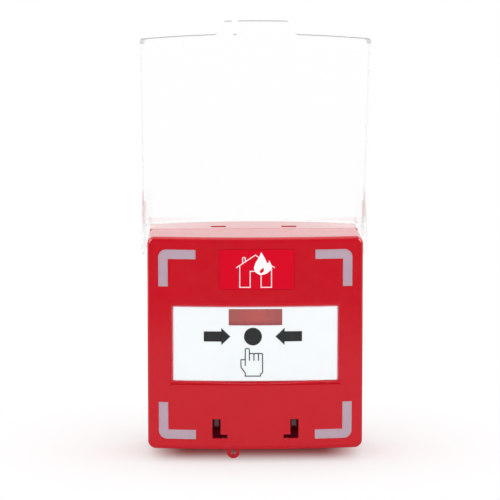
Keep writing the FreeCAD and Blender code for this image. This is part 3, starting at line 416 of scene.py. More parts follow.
def cover_masks(tree, place):
    """Masks on the clear cover: its free end's line, where painted shade goes, its arms, all but what
    faces its hinge.
    """
    free_end = max(corner[2] for corner in frame["nodes"]["clear_cover"].bound_box)
    hinge = next(joint for joint in frame["joints"] if joint["name"] == "cover_hinge")
    hinge_z = hinge["pos_m"][2]
    lean = math.radians(180 - hinge["range_deg"][1])
    towards_end = (0.0, -math.sin(lean), math.cos(lean))
    backwards = (0.0, math.cos(lean), math.sin(lean))
    bow_radius = 260 * MM       # of the panel's outer face
    outer_face = 17.45 * MM     # how far back that face is in its middle
    # Each pair is where a mask begins and where it is full
    end_band = (free_end - 11.5 * MM, free_end - 10 * MM)
    outer_half = (outer_face - 1.1 * MM, outer_face - 0.9 * MM)
    wall_sides, wall_backs = (47.2 * MM, 47.6 * MM), (7.2 * MM, 7.8 * MM)
    arm_sides, arm_heights = (45.5 * MM, 46.5 * MM), (hinge_z + 24 * MM, hinge_z + 20 * MM)
    wall_share, arm_share = 0.77, 0.53
    at = axes_of(tree, place)
    aside = math_of(tree, "ABSOLUTE", at["X"])
    back = dot_product(tree, place, backwards)
    bow = math_of(tree, "DIVIDE", times(tree, aside, aside), 2 * bow_radius)
    line = stretch(tree, math_of(tree, "ADD", back, bow), *outer_half)
    walls = times(tree, stretch(tree, aside, *wall_sides, 0.0, wall_share),
                  stretch(tree, back, *wall_backs))
    normal = tree.nodes.new("ShaderNodeTexCoord").outputs["Normal"]
    faces_end = dot_product(tree, normal, towards_end)
    rim = times(tree, stretch(tree, faces_end, 0.6, 0.95), stretch(tree, at["Z"], *end_band))
    rim = times(tree, rim, math_of(tree, "MAXIMUM", line, walls))
    low = stretch(tree, at["Z"], *arm_heights, 0.0, arm_share)
    arms = times(tree, stretch(tree, aside, *arm_sides), low)
    return rim, arms, stretch(tree, faces_end, -0.95, -0.6)


def clear_moulding(name, tint):
    """Clear moulding that lets the lamps through, with painted shade as a dark line at its free end,
    thicker arms.
    """
    made, tree, shader, place = new_material(name)
    rim, arms, off_hinge = cover_masks(tree, place)
    scuff = placed_group(tree, "hair_scratches", build_scuffs, {"Place": place})["Mask"]
    haze = stretch(tree, noise(tree, place, 70.0, 3.0), 0.35, 0.7, 0.0, 0.04)
    rough = math_of(tree, "ADD", haze, times(tree, scuff, 0.12))
    rough = math_of(tree, "ADD", rough, times(tree, rim, 0.3))
    paint = blend_colours(tree, times(tree, scuff, 0.3), tint, (0.9, 0.9, 0.9))
    # Painted shade: the edge at the free end is drawn dark
    paint = blend_colours(tree, rim, paint, (0.1, 0.072, 0.076))
    body = stretch(tree, math_of(tree, "MAXIMUM", rim, arms), 0.0, 1.0, 0.13, 0.75)
    feed(tree, shader, {
        "Base Color": paint, "Roughness": rough, "Alpha": times(tree, body, off_hinge),
        "Transmission Weight": 1.0, "IOR": 1.49,
    })
    flow = noise(tree, squeeze(tree, place, 1.0, 1.0, 0.4), 60.0, 2.0)
    bump(tree, shader, flow, 0.05 * MM, 0.5)
    through = put(tree, "ShaderNodeBsdfTransparent", {"Color": (0.96, 0.965, 0.97)}).outputs[0]
    shadow = tree.nodes.new("ShaderNodeLightPath").outputs["Is Shadow Ray"]
    show(tree, put(tree, "ShaderNodeMixShader", {0: shadow, 1: shader.outputs[0], 2: through}))
    return made


def window_moulding(name, tint):
    """Pale diffusing window, with faint prisms moulded behind its face."""
    made, tree, shader, place = new_material(name)
    prism = 0.6 * MM
    at = axes_of(tree, place)
    ribs = math_of(tree, "PINGPONG", math_of(tree, "ADD", at["X"], at["Z"]), prism)
    ribs = stretch(tree, ribs, 0.0, prism)
    paint = mottled(tree, place, tint, 0.1, 120.0)
    paint = blend_colours(tree, times(tree, ribs, 0.06), paint, (0.75, 0.6, 0.66))
    # Paler edges: partly rubbed wear, partly painted highlight
    paint = blend_colours(tree, times(tree, edge_wear_and_light_mask(tree, place), 0.4), paint, (0.8, 0.68, 0.72))
    height, rough = grained(tree, place, 1800.0, 0.3, 0.1)
    feed(tree, shader, {
        "Base Color": paint, "Roughness": rough, "Coat Weight": 0.25, "Coat Roughness": 0.1,
        "Subsurface Weight": 0.35, "Subsurface Radius": (1.0, 0.75, 0.85),
        "Subsurface Scale": 1.5 * MM,
    })
    bump(tree, shader, height, 0.008 * MM)
    return made


def ink_film(name, base):
    """Screen-printed ink with a slightly uneven cover."""
    made, tree, shader, place = new_material(name)
    height, rough = grained(tree, place, 5000.0, 0.42, 0.15)
    feed(tree, shader, {"Base Color": mottled(tree, place, base, 0.25, 400.0), "Roughness": rough})
    bump(tree, shader, height, 0.004 * MM)
    return made


def circuit_laminate(name):
    """Green lacquer over copper tracks and a glass weave, with tinned pads."""
    made, tree, shader, place = new_material(name)
    at = axes_of(tree, place)
    flat = put(tree, "ShaderNodeCombineXYZ", {"X": at["X"], "Y": at["Z"]}).outputs[0]
    grid = put(tree, "ShaderNodeTexBrick", {
        "Vector": flat, "Color1": (1.0, 1.0, 1.0), "Color2": (0.0, 0.0, 0.0),
        "Mortar": (0.5, 0.5, 0.5), "Scale": 260.0, "Mortar Size": 0.06, "Bias": 0.1,
    }, offset=0.35).outputs["Color"]
    weave = put(tree, "ShaderNodeTexWave", {
        "Vector": flat, "Scale": 900.0, "Distortion": 1.0,
    }).outputs["Fac"]
    cells = put(tree, "ShaderNodeTexVoronoi", {
        "Vector": flat, "Scale": 190.0, "Randomness": 0.35,
    }).outputs["Distance"]
    tracks = stretch(tree, grid, 0.45, 0.55)
    pads = stretch(tree, cells, 0.16, 0.13)
    paint = blend_colours(tree, tracks, (0.010, 0.085, 0.030), (0.020, 0.16, 0.055))
    paint = blend_colours(tree, times(tree, weave, 0.12), paint, (0.06, 0.2, 0.08))
    paint = blend_colours(tree, pads, paint, (0.55, 0.54, 0.5))
    feed(tree, shader, {
        "Base Color": paint, "Metallic": times(tree, pads, 0.9),
        "Roughness": stretch(tree, noise(tree, place, 300.0), 0.3, 0.7, 0.24, 0.4),
    })
    bump(tree, shader, math_of(tree, "ADD", tracks, pads), 0.02 * MM)
    return made


def banded_resistor(name):
    """Tan lacquered body with three colour bands."""
    made, tree, shader, place = new_material(name)
    pitch = 3.2 * MM
    band_share = 0.12           # a band's width, as a share of the pitch
    bands = {0.15: (0.25, 0.02, 0.01), 0.4: (0.02, 0.015, 0.01), 0.65: (0.5, 0.08, 0.01)}
    paint = mottled(tree, place, (0.45, 0.27, 0.13), 0.2, 300.0)
    step = math_of(tree, "FRACT", times(tree, axes_of(tree, place)["Z"], 1 / pitch))
    for start, band in bands.items():
        above = math_of(tree, "GREATER_THAN", step, start)
        below = math_of(tree, "LESS_THAN", step, start + band_share)
        paint = blend_colours(tree, times(tree, above, below), paint, band)
    rough = stretch(tree, noise(tree, place, 900.0), 0.3, 0.7, 0.3, 0.5)
    feed(tree, shader, {"Base Color": paint, "Roughness": rough})
    bump(tree, shader, noise(tree, place, 2500.0), 0.02 * MM)
    return made


# Pieces from operators

def dress(material, *nodes):
    """Gives CAD nodes their finish."""
    for name in nodes:
        surface = frame["nodes"][name].data
        surface.materials.clear()
        surface.materials.append(material)


def corner_nodes(kind):
    """Names of the four nodes of one kind, one in each corner."""
    return [f"corner_{kind}_{row}_{side}" for row in ("top", "bottom") for side in ("left", "right")]


def deselect_all():
    for other in bpy.context.selected_objects:
        other.select_set(False)


def choose(piece):
    """Makes a piece the active one and the only one selected."""
    deselect_all()
    piece.select_set(True)
    bpy.context.view_layer.objects.active = piece


def active_edit(piece, action="SELECT"):
    """Opens a piece in edit mode with all of it selected or deselected."""
    choose(piece)
    bpy.ops.object.mode_set(mode="EDIT")
    bpy.ops.mesh.select_all(action=action)


def select_points(piece, wanted):
    """Selects, in edit mode, the points whose place passes the test."""
    bpy.ops.object.mode_set(mode="OBJECT")
    for point in piece.data.vertices:
        point.select = wanted(point.co)
    for line in piece.data.edges:
        line.select = all(piece.data.vertices[end].select for end in line.vertices)
    for face in piece.data.polygons:
        face.select = all(piece.data.vertices[end].select for end in face.vertices)
    bpy.ops.object.mode_set(mode="EDIT")


def apply_modifier(piece, kind, **settings):
    choose(piece)
    made = piece.modifiers.new(kind.lower(), kind)
    for name, value in settings.items():
        setattr(made, name, value)
    bpy.ops.object.modifier_apply(modifier=made.name)


def draw_path(name, points, closed=False):
    """Draws a line through points (x, z) in millimetres, on a plane in front of the object."""
    deselect_all()
    start_x, start_z = points[0]
    bpy.ops.mesh.primitive_plane_add(size=MM, location=(start_x * MM, DRAWING_PLANE, start_z * MM))
    piece = bpy.context.object
    piece.name = piece.data.name = name
    bpy.ops.object.transform_apply(location=True, rotation=True, scale=True)
    active_edit(piece)
    bpy.ops.mesh.merge(type="CENTER")
    for (from_x, from_z), (to_x, to_z) in zip(points, points[1:]):
        step = ((to_x - from_x) * MM, 0.0, (to_z - from_z) * MM)
        bpy.ops.mesh.extrude_region_move(TRANSFORM_OT_translate={"value": step})
    if closed:
        bpy.ops.mesh.select_all(action="SELECT")
        bpy.ops.mesh.edge_face_add()
    bpy.ops.object.mode_set(mode="OBJECT")
    return piece


def round_points(piece, radius, corners):
    """Rounds the corners at the given places (x, z) in millimetres."""
    active_edit(piece, "DESELECT")
    select_points(piece, lambda at: any(
        math.hypot(at.x / MM - x, at.z / MM - z) < 0.05 for x, z in corners))
    bpy.ops.mesh.bevel(offset=radius, segments=4, affect="VERTICES")
    bpy.ops.object.mode_set(mode="OBJECT")


def join(pieces):
    deselect_all()
    for piece in pieces:
        piece.select_set(True)
    bpy.context.view_layer.objects.active = pieces[0]
    bpy.ops.object.join()
    return pieces[0]


def cut_into_strips(piece):
    """Cuts a flat piece at even steps from side to side, so that it can follow the bow."""
    across = [point.co.x for point in piece.data.vertices]
    low_x, high_x = min(across), max(across)
    active_edit(piece)
    for step in range(1, math.ceil((high_x - low_x) / STRIP_WIDTH)):
        bpy.ops.mesh.select_all(action="SELECT")
        bpy.ops.mesh.bisect(plane_co=(low_x + step * STRIP_WIDTH, 0.0, 0.0), plane_no=(1.0, 0.0, 0.0))
    bpy.ops.object.mode_set(mode="OBJECT")


def lay_on(piece, node, film):
    """Drops a flat piece that stands in front of a node on to its bowed face."""
    apply_modifier(
        piece, "SHRINKWRAP", target=frame["nodes"][node], wrap_method="PROJECT",
        use_project_y=True, use_negative_direction=False, use_positive_direction=True, offset=film)


def film_of_sheet(piece, node, film):
    """Lays a flat sheet on a node's face in strips and gives it thickness into that face."""
    cut_into_strips(piece)
    lay_on(piece, node, film)
    if piece.data.polygons[0].normal.y > 0.0:
        active_edit(piece)
        bpy.ops.mesh.flip_normals()
        bpy.ops.object.mode_set(mode="OBJECT")
    apply_modifier(piece, "SOLIDIFY", thickness=PRINT_DEPTH, offset=-1.0)


def film_of_lines(piece, node, film, width):
    """Lays drawn lines on a node's face and gives them depth and an even width."""
    active_edit(piece)
    bpy.ops.mesh.subdivide(number_cuts=3)
    bpy.ops.object.mode_set(mode="OBJECT")
    lay_on(piece, node, film)
    active_edit(piece)
    bpy.ops.mesh.extrude_region_move(TRANSFORM_OT_translate={"value": (0.0, PRINT_DEPTH, 0.0)})
    bpy.ops.mesh.select_all(action="SELECT")
    bpy.ops.mesh.normals_make_consistent(inside=False)
    bpy.ops.object.mode_set(mode="OBJECT")
    apply_modifier(piece, "SOLIDIFY", thickness=width, offset=0.0, use_even_offset=True)
    active_edit(piece)
    bpy.ops.mesh.normals_make_consistent(inside=False)
    bpy.ops.object.mode_set(mode="OBJECT")


def finish_piece(piece, material, body):
    piece.data.materials.clear()
    piece.data.materials.append(material)
    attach(piece, body)


class CALLPOINT_OT_stage(bpy.types.Operator):
    """Sets the floor, the room, the lamp and the camera"""
    bl_idname = "call_point.stage"
    bl_label = "Stage"

    def execute(self, context):
        wanted = context.scene.call_point_stage
        context.scene.view_settings.view_transform = "Standard"
        self.floor()
        self.room(wanted)
        self.lamp(context, wanted)
        self.camera(context, wanted)
        return {"FINISHED"}

    def floor(self):
        """A pale disc under the object."""
        deselect_all()
        bpy.ops.mesh.primitive_circle_add(
            vertices=96, radius=0.42, fill_type="NGON", location=(0.0, 0.0, FLOOR_Z))
        ground = bpy.context.object
        ground.name = ground.data.name = "floor"
        bpy.ops.object.transform_apply(location=True, rotation=True, scale=True)
        ground.data.materials.append(self.pale_floor())

    def pale_floor(self):
        """The camera sees a painted reddish shadow under the object, and the floor brightening to white
        further off.
        """
        shade_half, painted_shadow_half = (30 * MM, 8.5 * MM), (29 * MM, 12.2 * MM)
        shade_reach, painted_shadow_reach = 8 * MM, 21.5 * MM
        far_band = (55 * MM, 115 * MM)
        near_share, far_share = 0.62, 0.38
        made, tree, shader, place = new_material("pale_floor")
        rays = tree.nodes.new("ShaderNodeLightPath").outputs
        seen = math_of(tree, "MAXIMUM", rays["Is Camera Ray"], rays["Is Transmission Ray"])
        away = self.distance_from(tree, place, *shade_half)
        shade = math_of(tree, "EXPONENT", math_of(tree, "DIVIDE", away, -shade_reach))
        near = times(tree, math_of(tree, "SUBTRACT", 1.0, shade), near_share)
        far = stretch(tree, away, *far_band, 0.0, far_share, "SMOOTHSTEP")
        share = times(tree, math_of(tree, "ADD", near, far), seen)
        # Painted shadow: a dark red patch under the object, seen by the camera only
        painted_shadow_away = self.distance_from(tree, place, *painted_shadow_half)
        under = stretch(tree, painted_shadow_away, painted_shadow_reach, 0.0, curve="SMOOTHSTEP")
        painted_shadow = blend_colours(tree, times(tree, under, seen), (1.0, 1.0, 1.0), (0.5, 0.21, 0.19))
        # The floor is paler for the camera and darker as gloss mirrors it
        pale = blend_colours(tree, rays["Is Glossy Ray"], (0.93, 0.915, 0.91), (0.36, 0.35, 0.35))
        feed(tree, shader, {
            "Base Color": blend_colours(tree, 1.0, pale, painted_shadow, "MULTIPLY"),
            "Roughness": 0.9, "Specular IOR Level": 0.1,
        })
        # Painted shadow in the glow too: redder close under the object
        tint = blend_colours(tree, math_of(tree, "POWER", shade, 0.5), (1.0, 1.0, 1.0), (0.8, 0.5, 0.52))
        tint = blend_colours(tree, 1.0, tint, painted_shadow, "MULTIPLY")
        glow = put(tree, "ShaderNodeEmission", {"Color": tint, "Strength": 1.0}).outputs[0]
        show(tree, put(tree, "ShaderNodeMixShader", {0: share, 1: shader.outputs[0], 2: glow}))
        return made

    def distance_from(self, tree, place, half_x, half_y):
        """Distance on the floor from a rectangle that reaches from the wall towards the front."""
        at = axes_of(tree, place)
        beside = []
        for side, half in ((at["X"], half_x), (math_of(tree, "ADD", at["Y"], half_y), half_y)):
            outside = math_of(tree, "SUBTRACT", math_of(tree, "ABSOLUTE", side), half)
            beside.append(math_of(tree, "MAXIMUM", outside, 0.0))
        flat = put(tree, "ShaderNodeCombineXYZ", {"X": beside[0], "Y": beside[1]}).outputs[0]
        return put(tree, "ShaderNodeVectorMath", {0: flat}, operation="LENGTH").outputs["Value"]

    def room(self, wanted):
        """Soft light, strongest from above the camera, and another room for gloss to mirror."""
        world = bpy.data.worlds.new("room")
        world.use_nodes = True
        bpy.context.scene.world = world
        tree = world.node_tree
        rays = tree.nodes.new("ShaderNodeLightPath").outputs
        direction = tree.nodes.new("ShaderNodeTexCoord").outputs["Generated"]
        facing = dot_product(tree, direction, (0.0, -0.8, 0.6))
        soft = stretch(tree, facing, -1.0, 1.0, wanted.far_light, wanted.near_light)
        light = blend_values(tree, rays["Is Glossy Ray"], soft, self.mirrored(tree, direction, wanted))
        seen = math_of(tree, "MAXIMUM", rays["Is Camera Ray"], rays["Is Transmission Ray"])
        feed(tree, tree.nodes["Background"], {
            "Color": (1.0, 1.0, 1.0), "Strength": blend_values(tree, seen, light, 1.0),
        })

    def mirrored(self, tree, direction, wanted):
        """The room as gloss mirrors it: white behind and overhead, dim in front, a box each side."""
        towards = axes_of(tree, direction)
        white = math_of(tree, "MAXIMUM", stretch(tree, towards["Y"], -0.1, 0.25),
                        stretch(tree, towards["Z"], 0.93, 0.99))
        dim = stretch(tree, towards["Z"], 0.0, 0.18, wanted.dim_side, 0.0)
        beside = stretch(tree, math_of(tree, "ABSOLUTE", towards["X"]), 0.62, 0.68)
        above = stretch(tree, towards["Z"], 0.18, 0.26)
        off_centre = math_of(tree, "ABSOLUTE", math_of(tree, "ADD", towards["Y"], 0.16))
        level = times(tree, stretch(tree, off_centre, 0.2, 0.13), wanted.side_boxes)
        boxes = times(tree, times(tree, beside, above), level)
        return math_of(tree, "MAXIMUM", math_of(tree, "MAXIMUM", white, dim), boxes)

    def lamp(self, context, wanted):
        data = bpy.data.lights.new("lamp_overhead", "AREA")
        data.shape = "SQUARE"
        data.size = 1.2
        data.energy = wanted.top_light
        lamp = bpy.data.objects.new("lamp_overhead", data)
        context.collection.objects.link(lamp)
        lamp.location = (0.0, -0.1, 1.1)

    def camera(self, context, wanted):
        data = bpy.data.cameras.new("camera")
        data.lens = wanted.camera_lens
        data.sensor_width = 36.0
        camera = bpy.data.objects.new("camera", data)
        context.collection.objects.link(camera)
        camera.location = wanted.camera_place
        camera.rotation_euler = (math.pi / 2 - wanted.camera_dip, 0.0, -wanted.camera_turn)
        context.scene.camera = camera


class CALLPOINT_OT_housing(bpy.types.Operator):
    """Finishes the front cover and the back box"""
    bl_idname = "call_point.housing"
    bl_label = "Housing"

    def execute(self, context):
        red = tuple(context.scene.call_point_plastics.housing_red)
        # Edge colours are partly rubbed wear, partly painted highlight; the cover also gets painted
        # light in its groove and a painted glow
        dress(moulded("red_moulding", red, 0.15, depth=0.006 * MM, edge_wear_and_light=(0.63, 0.008, 0.02),
                      coat=0.2, tones=painted_groove_light, painted_glow=1.0), "front_cover")
        dress(moulded("red_moulding_rear", red, 0.17, depth=0.006 * MM, edge_wear_and_light=(0.6, 0.012, 0.025),
                      coat=1.0), "back_box")
        return {"FINISHED"}


class CALLPOINT_OT_windows(bpy.types.Operator):
    """Finishes the four corner windows"""
    bl_idname = "call_point.windows"
    bl_label = "Corner windows"

    def execute(self, context):
        tint = tuple(context.scene.call_point_plastics.window_tint)
        dress(window_moulding("corner_window", tint), *corner_nodes("lens"))
        return {"FINISHED"}


class CALLPOINT_OT_label(bpy.types.Operator):
    """Finishes the glossy label"""
    bl_idname = "call_point.label"
    bl_label = "Label"

    def execute(self, context):
        red = tuple(context.scene.call_point_plastics.label_red)
        dress(moulded("label_film", red, 0.3, mottle=0.05, grain=900.0, depth=0.006 * MM,
                      shine=0.04), "pictogram_label")
        return {"FINISHED"}


class CALLPOINT_OT_plate(bpy.types.Operator):
    """Finishes the press plate and its indicator"""
    bl_idname = "call_point.plate"
    bl_label = "Press plate"

    def execute(self, context):
        wanted = context.scene.call_point_plastics
        # The plate's edge colour is partly painted light; its painted glow brightens its shut-in edges
        dress(moulded("white_moulding", tuple(wanted.plate_white), 0.34, mottle=0.03,
                      edge_wear_and_light=(0.86, 0.9, 0.92), subsurface=0.4, painted_glow=5.0, reach=2 * MM), "press_plate")
        dress(moulded("indicator_moulding", tuple(wanted.indicator_red), 0.28, mottle=0.05,
                      grain=1500.0, coat=0.3, subsurface=0.3, tones=indicator_tones), "indicator_lens")
        return {"FINISHED"}


class CALLPOINT_OT_clear_cover(bpy.types.Operator):
    """Finishes the clear hinged cover"""
    bl_idname = "call_point.clear_cover"
    bl_label = "Clear cover"

    def execute(self, context):
        tint = tuple(context.scene.call_point_plastics.clear_tint)
        dress(clear_moulding("clear_moulding", tint), "clear_cover")
        return {"FINISHED"}


class CALLPOINT_OT_carrier(bpy.types.Operator):
    """Finishes the carrier, the rocker and the terminal and switch mouldings"""
    bl_idname = "call_point.carrier"
    bl_label = "Carrier and inner mouldings"

    def execute(self, context):
        grey = tuple(context.scene.call_point_plastics.carrier_grey)
        # Paler carrier edges are partly painted highlight; the painted red glow stands in for light
        # through the red walls
        dress(moulded("grey_moulding", grey, 0.5, edge_wear_and_light=(0.3, 0.3, 0.3), painted_glow=1.0), "chassis")
        dress(moulded("rocker_moulding", (0.78, 0.78, 0.74), 0.4, mottle=0.08, painted_glow=1.0),
              "reset_rocker")
        dress(moulded("switch_moulding", (0.018, 0.018, 0.019), 0.45, mottle=0.3), "switch_body")
        dress(moulded("plunger_moulding", (0.5, 0.02, 0.015), 0.35), "switch_plunger")
        dress(moulded("terminal_moulding", (0.03, 0.22, 0.07), 0.42, mottle=0.12), "terminal_block")
        dress(moulded("grommet_rubber", (0.016, 0.016, 0.016), 0.7, mottle=0.4, grain=1500.0,
                      depth=0.03 * MM), "cable_grommet")
        return {"FINISHED"}


class CALLPOINT_OT_electrics(bpy.types.Operator):
    """Finishes the board, its lamps and its resistors"""
    bl_idname = "call_point.electrics"
    bl_label = "Board and lamps"

    def execute(self, context):
        dress(circuit_laminate("board_laminate"), "circuit_board")
        dress(banded_resistor("resistor_lacquer"), "board_resistors")
        dress(moulded("white_lamp", (0.85, 0.84, 0.72), 0.2, mottle=0.1, coat=0.5, subsurface=0.5),
              *corner_nodes("led"))
        dress(moulded("red_lamp", (0.55, 0.02, 0.02), 0.15, mottle=0.1, coat=0.6, subsurface=0.4),
              "status_led")
        return {"FINISHED"}


class CALLPOINT_OT_metal(bpy.types.Operator):
    """Finishes the screws, the clamps, the pin and the switch lever"""
    bl_idname = "call_point.metal"
    bl_label = "Metal parts"

    def execute(self, context):
        dress(metal("zinc_plate", (0.62, 0.63, 0.62), 0.32, (1.0, 0.2, 1.0), (0.5, 0.47, 0.38)),
              "chassis_screws", "board_screws", "terminal_screws")
        dress(metal("brass_plate", (0.72, 0.49, 0.2), 0.3, tarnish=(0.45, 0.28, 0.1)),
              "terminal_clamps")
        dress(metal("drawn_steel", (0.6, 0.6, 0.6), 0.22, (0.1, 1.0, 1.0)), "rocker_pin")
        dress(metal("rolled_steel", (0.56, 0.56, 0.55), 0.28), "switch_lever")
        return {"FINISHED"}


class CALLPOINT_OT_print_dot(bpy.types.Operator):
    """Prints the dot on the press plate"""
    bl_idname = "call_point.print_dot"
    bl_label = "Dot"

    def execute(self, context):
        wanted = context.scene.call_point_prints
        deselect_all()
        bpy.ops.mesh.primitive_circle_add(
            vertices=64, radius=wanted.dot_radius, fill_type="NGON",
            location=(wanted.middle, DRAWING_PLANE, wanted.dot_height),
            rotation=(math.pi / 2, 0.0, 0.0))
        dot = context.object
        dot.name = dot.data.name = "print_dot"
        bpy.ops.object.transform_apply(location=True, rotation=True, scale=True)
        film_of_sheet(dot, "press_plate", wanted.film)
        finish_piece(dot, ink_film("plate_ink", tuple(wanted.ink)), "plate")
        return {"FINISHED"}


class CALLPOINT_OT_print_arrows(bpy.types.Operator):
    """Prints the two arrows that point at the dot"""
    bl_idname = "call_point.print_arrows"
    bl_label = "Arrows"

    def execute(self, context):
        wanted = context.scene.call_point_prints
        ink = bpy.data.materials["plate_ink"]
        left = self.arrow(wanted)
        choose(left)
        bpy.ops.object.duplicate()
        right = context.object
        left.name = left.data.name = "print_arrow_left"
        right.name = right.data.name = "print_arrow_right"
        active_edit(right)
        bpy.ops.transform.resize(value=(-1.0, 1.0, 1.0), center_override=(wanted.middle, 0.0, 0.0))
        bpy.ops.object.mode_set(mode="OBJECT")
        for arrow in (left, right):
            film_of_sheet(arrow, "press_plate", wanted.film)
            finish_piece(arrow, ink, "plate")
        return {"FINISHED"}

    def arrow(self, wanted):
        """The left arrow: a shaft whose inner end is drawn out to the head and its tip."""
        shaft_length = wanted.arrow_tail - wanted.arrow_neck
        neck_x = wanted.middle - wanted.arrow_neck
        deselect_all()
        bpy.ops.mesh.primitive_plane_add(
            size=1.0, location=(neck_x - shaft_length / 2, DRAWING_PLANE, wanted.dot_height),
            rotation=(math.pi / 2, 0.0, 0.0))
        arrow = bpy.context.object
        arrow.scale = (shaft_length, wanted.arrow_shaft, 1.0)
        bpy.ops.object.transform_apply(location=True, rotation=True, scale=True)
        active_edit(arrow, "DESELECT")
        select_points(arrow, lambda at: at.x > neck_x - 0.1 * MM)
        head_length = wanted.arrow_neck - wanted.arrow_tip
        widening = wanted.arrow_head / wanted.arrow_shaft
        bpy.ops.mesh.extrude_region_move(TRANSFORM_OT_translate={"value": (0.0, 0.0, 0.0)})
        bpy.ops.transform.resize(value=(1.0, 1.0, widening),
                                 center_override=(neck_x, DRAWING_PLANE, wanted.dot_height))
        bpy.ops.mesh.extrude_region_move(TRANSFORM_OT_translate={"value": (head_length, 0.0, 0.0)})
        bpy.ops.mesh.merge(type="CENTER")
        bpy.ops.mesh.select_all(action="SELECT")
        bpy.ops.mesh.dissolve_limited(angle_limit=math.radians(1.0))
        bpy.ops.object.mode_set(mode="OBJECT")
        return arrow


class CALLPOINT_OT_print_hand(bpy.types.Operator):
    """Prints the pointing hand under the dot"""
    bl_idname = "call_point.print_hand"
    bl_label = "Hand"

    def execute(self, context):
        wanted = context.scene.call_point_prints
        finger_left, finger_right, finger_top = -4.5, -2.68, -1.85
        knuckles, dips, gap_end = -4.04, -4.5, -7.25
        middle_gap, little_gap = -0.68, 1.32
        side, wrist, hem = 3.1, 2.2, -14.14
        thumb = [(-6.38, -6.8), (-6.41, -10.1), (-4.5, -12.8)]
        finger = draw_path("print_hand", [
            (finger_left, -9.6), (finger_left, finger_top), (finger_right, finger_top),
            (finger_right, gap_end)])
        round_points(finger, 0.6 * MM, [(finger_left, finger_top), (finger_right, finger_top)])
        outline = draw_path("outline", [
            (finger_left, -6.8), *thumb, (finger_left, hem), (wrist, hem), (wrist, -13.3),
            (side, -12.6), (side, knuckles), (little_gap, knuckles), (-0.33, knuckles),
            (middle_gap, dips), (-1.03, knuckles), (-2.28, knuckles), (finger_right, dips)])
        round_points(outline, 0.6 * MM, [thumb[1], (side, knuckles)])
        gaps = [draw_path("gap", [(middle_gap, dips), (middle_gap, gap_end)]),
                draw_path("gap", [(little_gap, knuckles), (little_gap, gap_end)])]
        hand = join([finger, outline, *gaps])
        film_of_lines(hand, "press_plate", wanted.film, wanted.hand_line)
        finish_piece(hand, bpy.data.materials["plate_ink"], "plate")
        return {"FINISHED"}


class CALLPOINT_OT_print_house(bpy.types.Operator):
    """Prints the lines of the house on the label"""
    bl_idname = "call_point.print_house"
    bl_label = "House"

    def execute(self, context):
        wanted = context.scene.call_point_prints
        foot, lintel = 25.45, 32.55
        roof = draw_path("print_house", [(-8.47, 34.1), (-0.07, 39.7), (2.38, 38.0)])
        eave = draw_path("eave", [(5.38, 36.05), (8.43, 34.05)])
        left = draw_path("left", [
            (-6.92, 35.0), (-6.92, foot), (-2.37, foot), (-2.37, lintel), (0.38, lintel)])
        right = draw_path("right", [(2.43, 31.4), (2.43, foot), (7.0, foot), (7.0, 34.6)])
        chimney = draw_path("chimney", [(-5.65, 35.9), (-5.65, 38.6), (-4.48, 38.6), (-4.48, 36.7)])
        round_points(chimney, 0.3 * MM, [(-5.65, 38.6), (-4.48, 38.6)])
        house = join([roof, eave, left, right, chimney])
        film_of_lines(house, "pictogram_label", wanted.film, wanted.house_line)
        finish_piece(house, ink_film("label_ink", tuple(wanted.ink_on_label)), "housing")
        return {"FINISHED"}


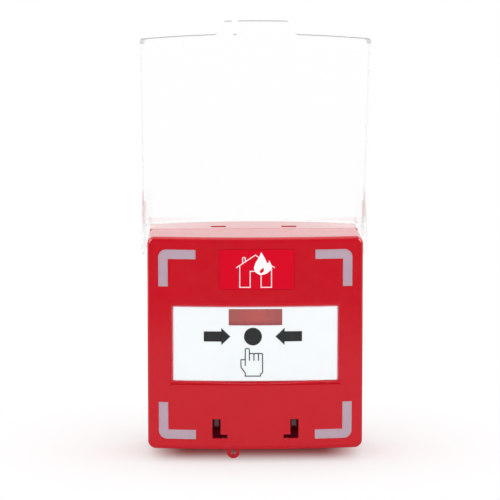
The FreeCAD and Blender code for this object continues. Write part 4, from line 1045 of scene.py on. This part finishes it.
class CALLPOINT_OT_print_flame(bpy.types.Operator):
    """Prints the flame with its open heart on the label"""
    bl_idname = "call_point.print_flame"
    bl_label = "Flame"

    def execute(self, context):
        wanted = context.scene.call_point_prints
        tip, tongue, dip = (2.48, 41.0), (5.71, 37.6), (5.38, 36.0)
        bends = [(1.73, 39.1), (-0.02, 36.3), (-0.84, 33.9), (-0.12, 32.0), (2.18, 30.75), (4.98, 31.5),
                 (6.98, 33.3), (6.98, 35.6)]
        flame = draw_path("print_flame", [
            tip, *bends, tongue, (5.88, 36.6), dip, (4.88, 36.5), (4.08, 38.3)], closed=True)
        round_points(flame, 0.8 * MM, bends)
        heart_bends = [(3.75, 32.95), (3.25, 32.05), (2.3, 31.6), (1.65, 32.2), (2.35, 33.3)]
        heart = draw_path("heart", [(3.45, 34.15), *heart_bends], closed=True)
        round_points(heart, 0.3 * MM, heart_bends)
        both = join([flame, heart])
        active_edit(both)
        bpy.ops.mesh.delete(type="ONLY_FACE")
        bpy.ops.mesh.select_all(action="SELECT")
        bpy.ops.mesh.fill()
        bpy.ops.object.mode_set(mode="OBJECT")
        film_of_sheet(both, "pictogram_label", wanted.film + 0.01 * MM)
        finish_piece(both, ink_film("flame_ink", tuple(wanted.ink_on_flame)), "housing")
        return {"FINISHED"}


class CALLPOINT_PT_panel(bpy.types.Panel):
    """Lists the pieces of the call point"""
    bl_idname = "CALLPOINT_PT_panel"
    bl_label = "Call point"
    bl_space_type = "VIEW_3D"
    bl_region_type = "UI"
    bl_category = "Call point"

    def draw(self, context):
        for operator in OPERATORS:
            self.layout.operator(operator.bl_idname)


GROUPS = {
    "call_point_plastics": CALLPOINT_PG_plastics,
    "call_point_prints": CALLPOINT_PG_prints,
    "call_point_stage": CALLPOINT_PG_stage,
}
OPERATORS = (
    CALLPOINT_OT_stage,
    CALLPOINT_OT_housing,
    CALLPOINT_OT_windows,
    CALLPOINT_OT_label,
    CALLPOINT_OT_plate,
    CALLPOINT_OT_clear_cover,
    CALLPOINT_OT_carrier,
    CALLPOINT_OT_electrics,
    CALLPOINT_OT_metal,
    CALLPOINT_OT_print_dot,
    CALLPOINT_OT_print_arrows,
    CALLPOINT_OT_print_hand,
    CALLPOINT_OT_print_house,
    CALLPOINT_OT_print_flame,
)


def register():
    for made in (*GROUPS.values(), *OPERATORS, CALLPOINT_PT_panel):
        bpy.utils.register_class(made)
    for name, made in GROUPS.items():
        setattr(bpy.types.Scene, name, PointerProperty(type=made))


def unregister():
    for name in GROUPS:
        delattr(bpy.types.Scene, name)
    for made in (CALLPOINT_PT_panel, *reversed(OPERATORS), *reversed(list(GROUPS.values()))):
        bpy.utils.unregister_class(made)


def main():
    register()
    for operator in OPERATORS:
        family, name = operator.bl_idname.split(".")
        getattr(getattr(bpy.ops, family), name)()


if __name__ == "__main__":
    main()
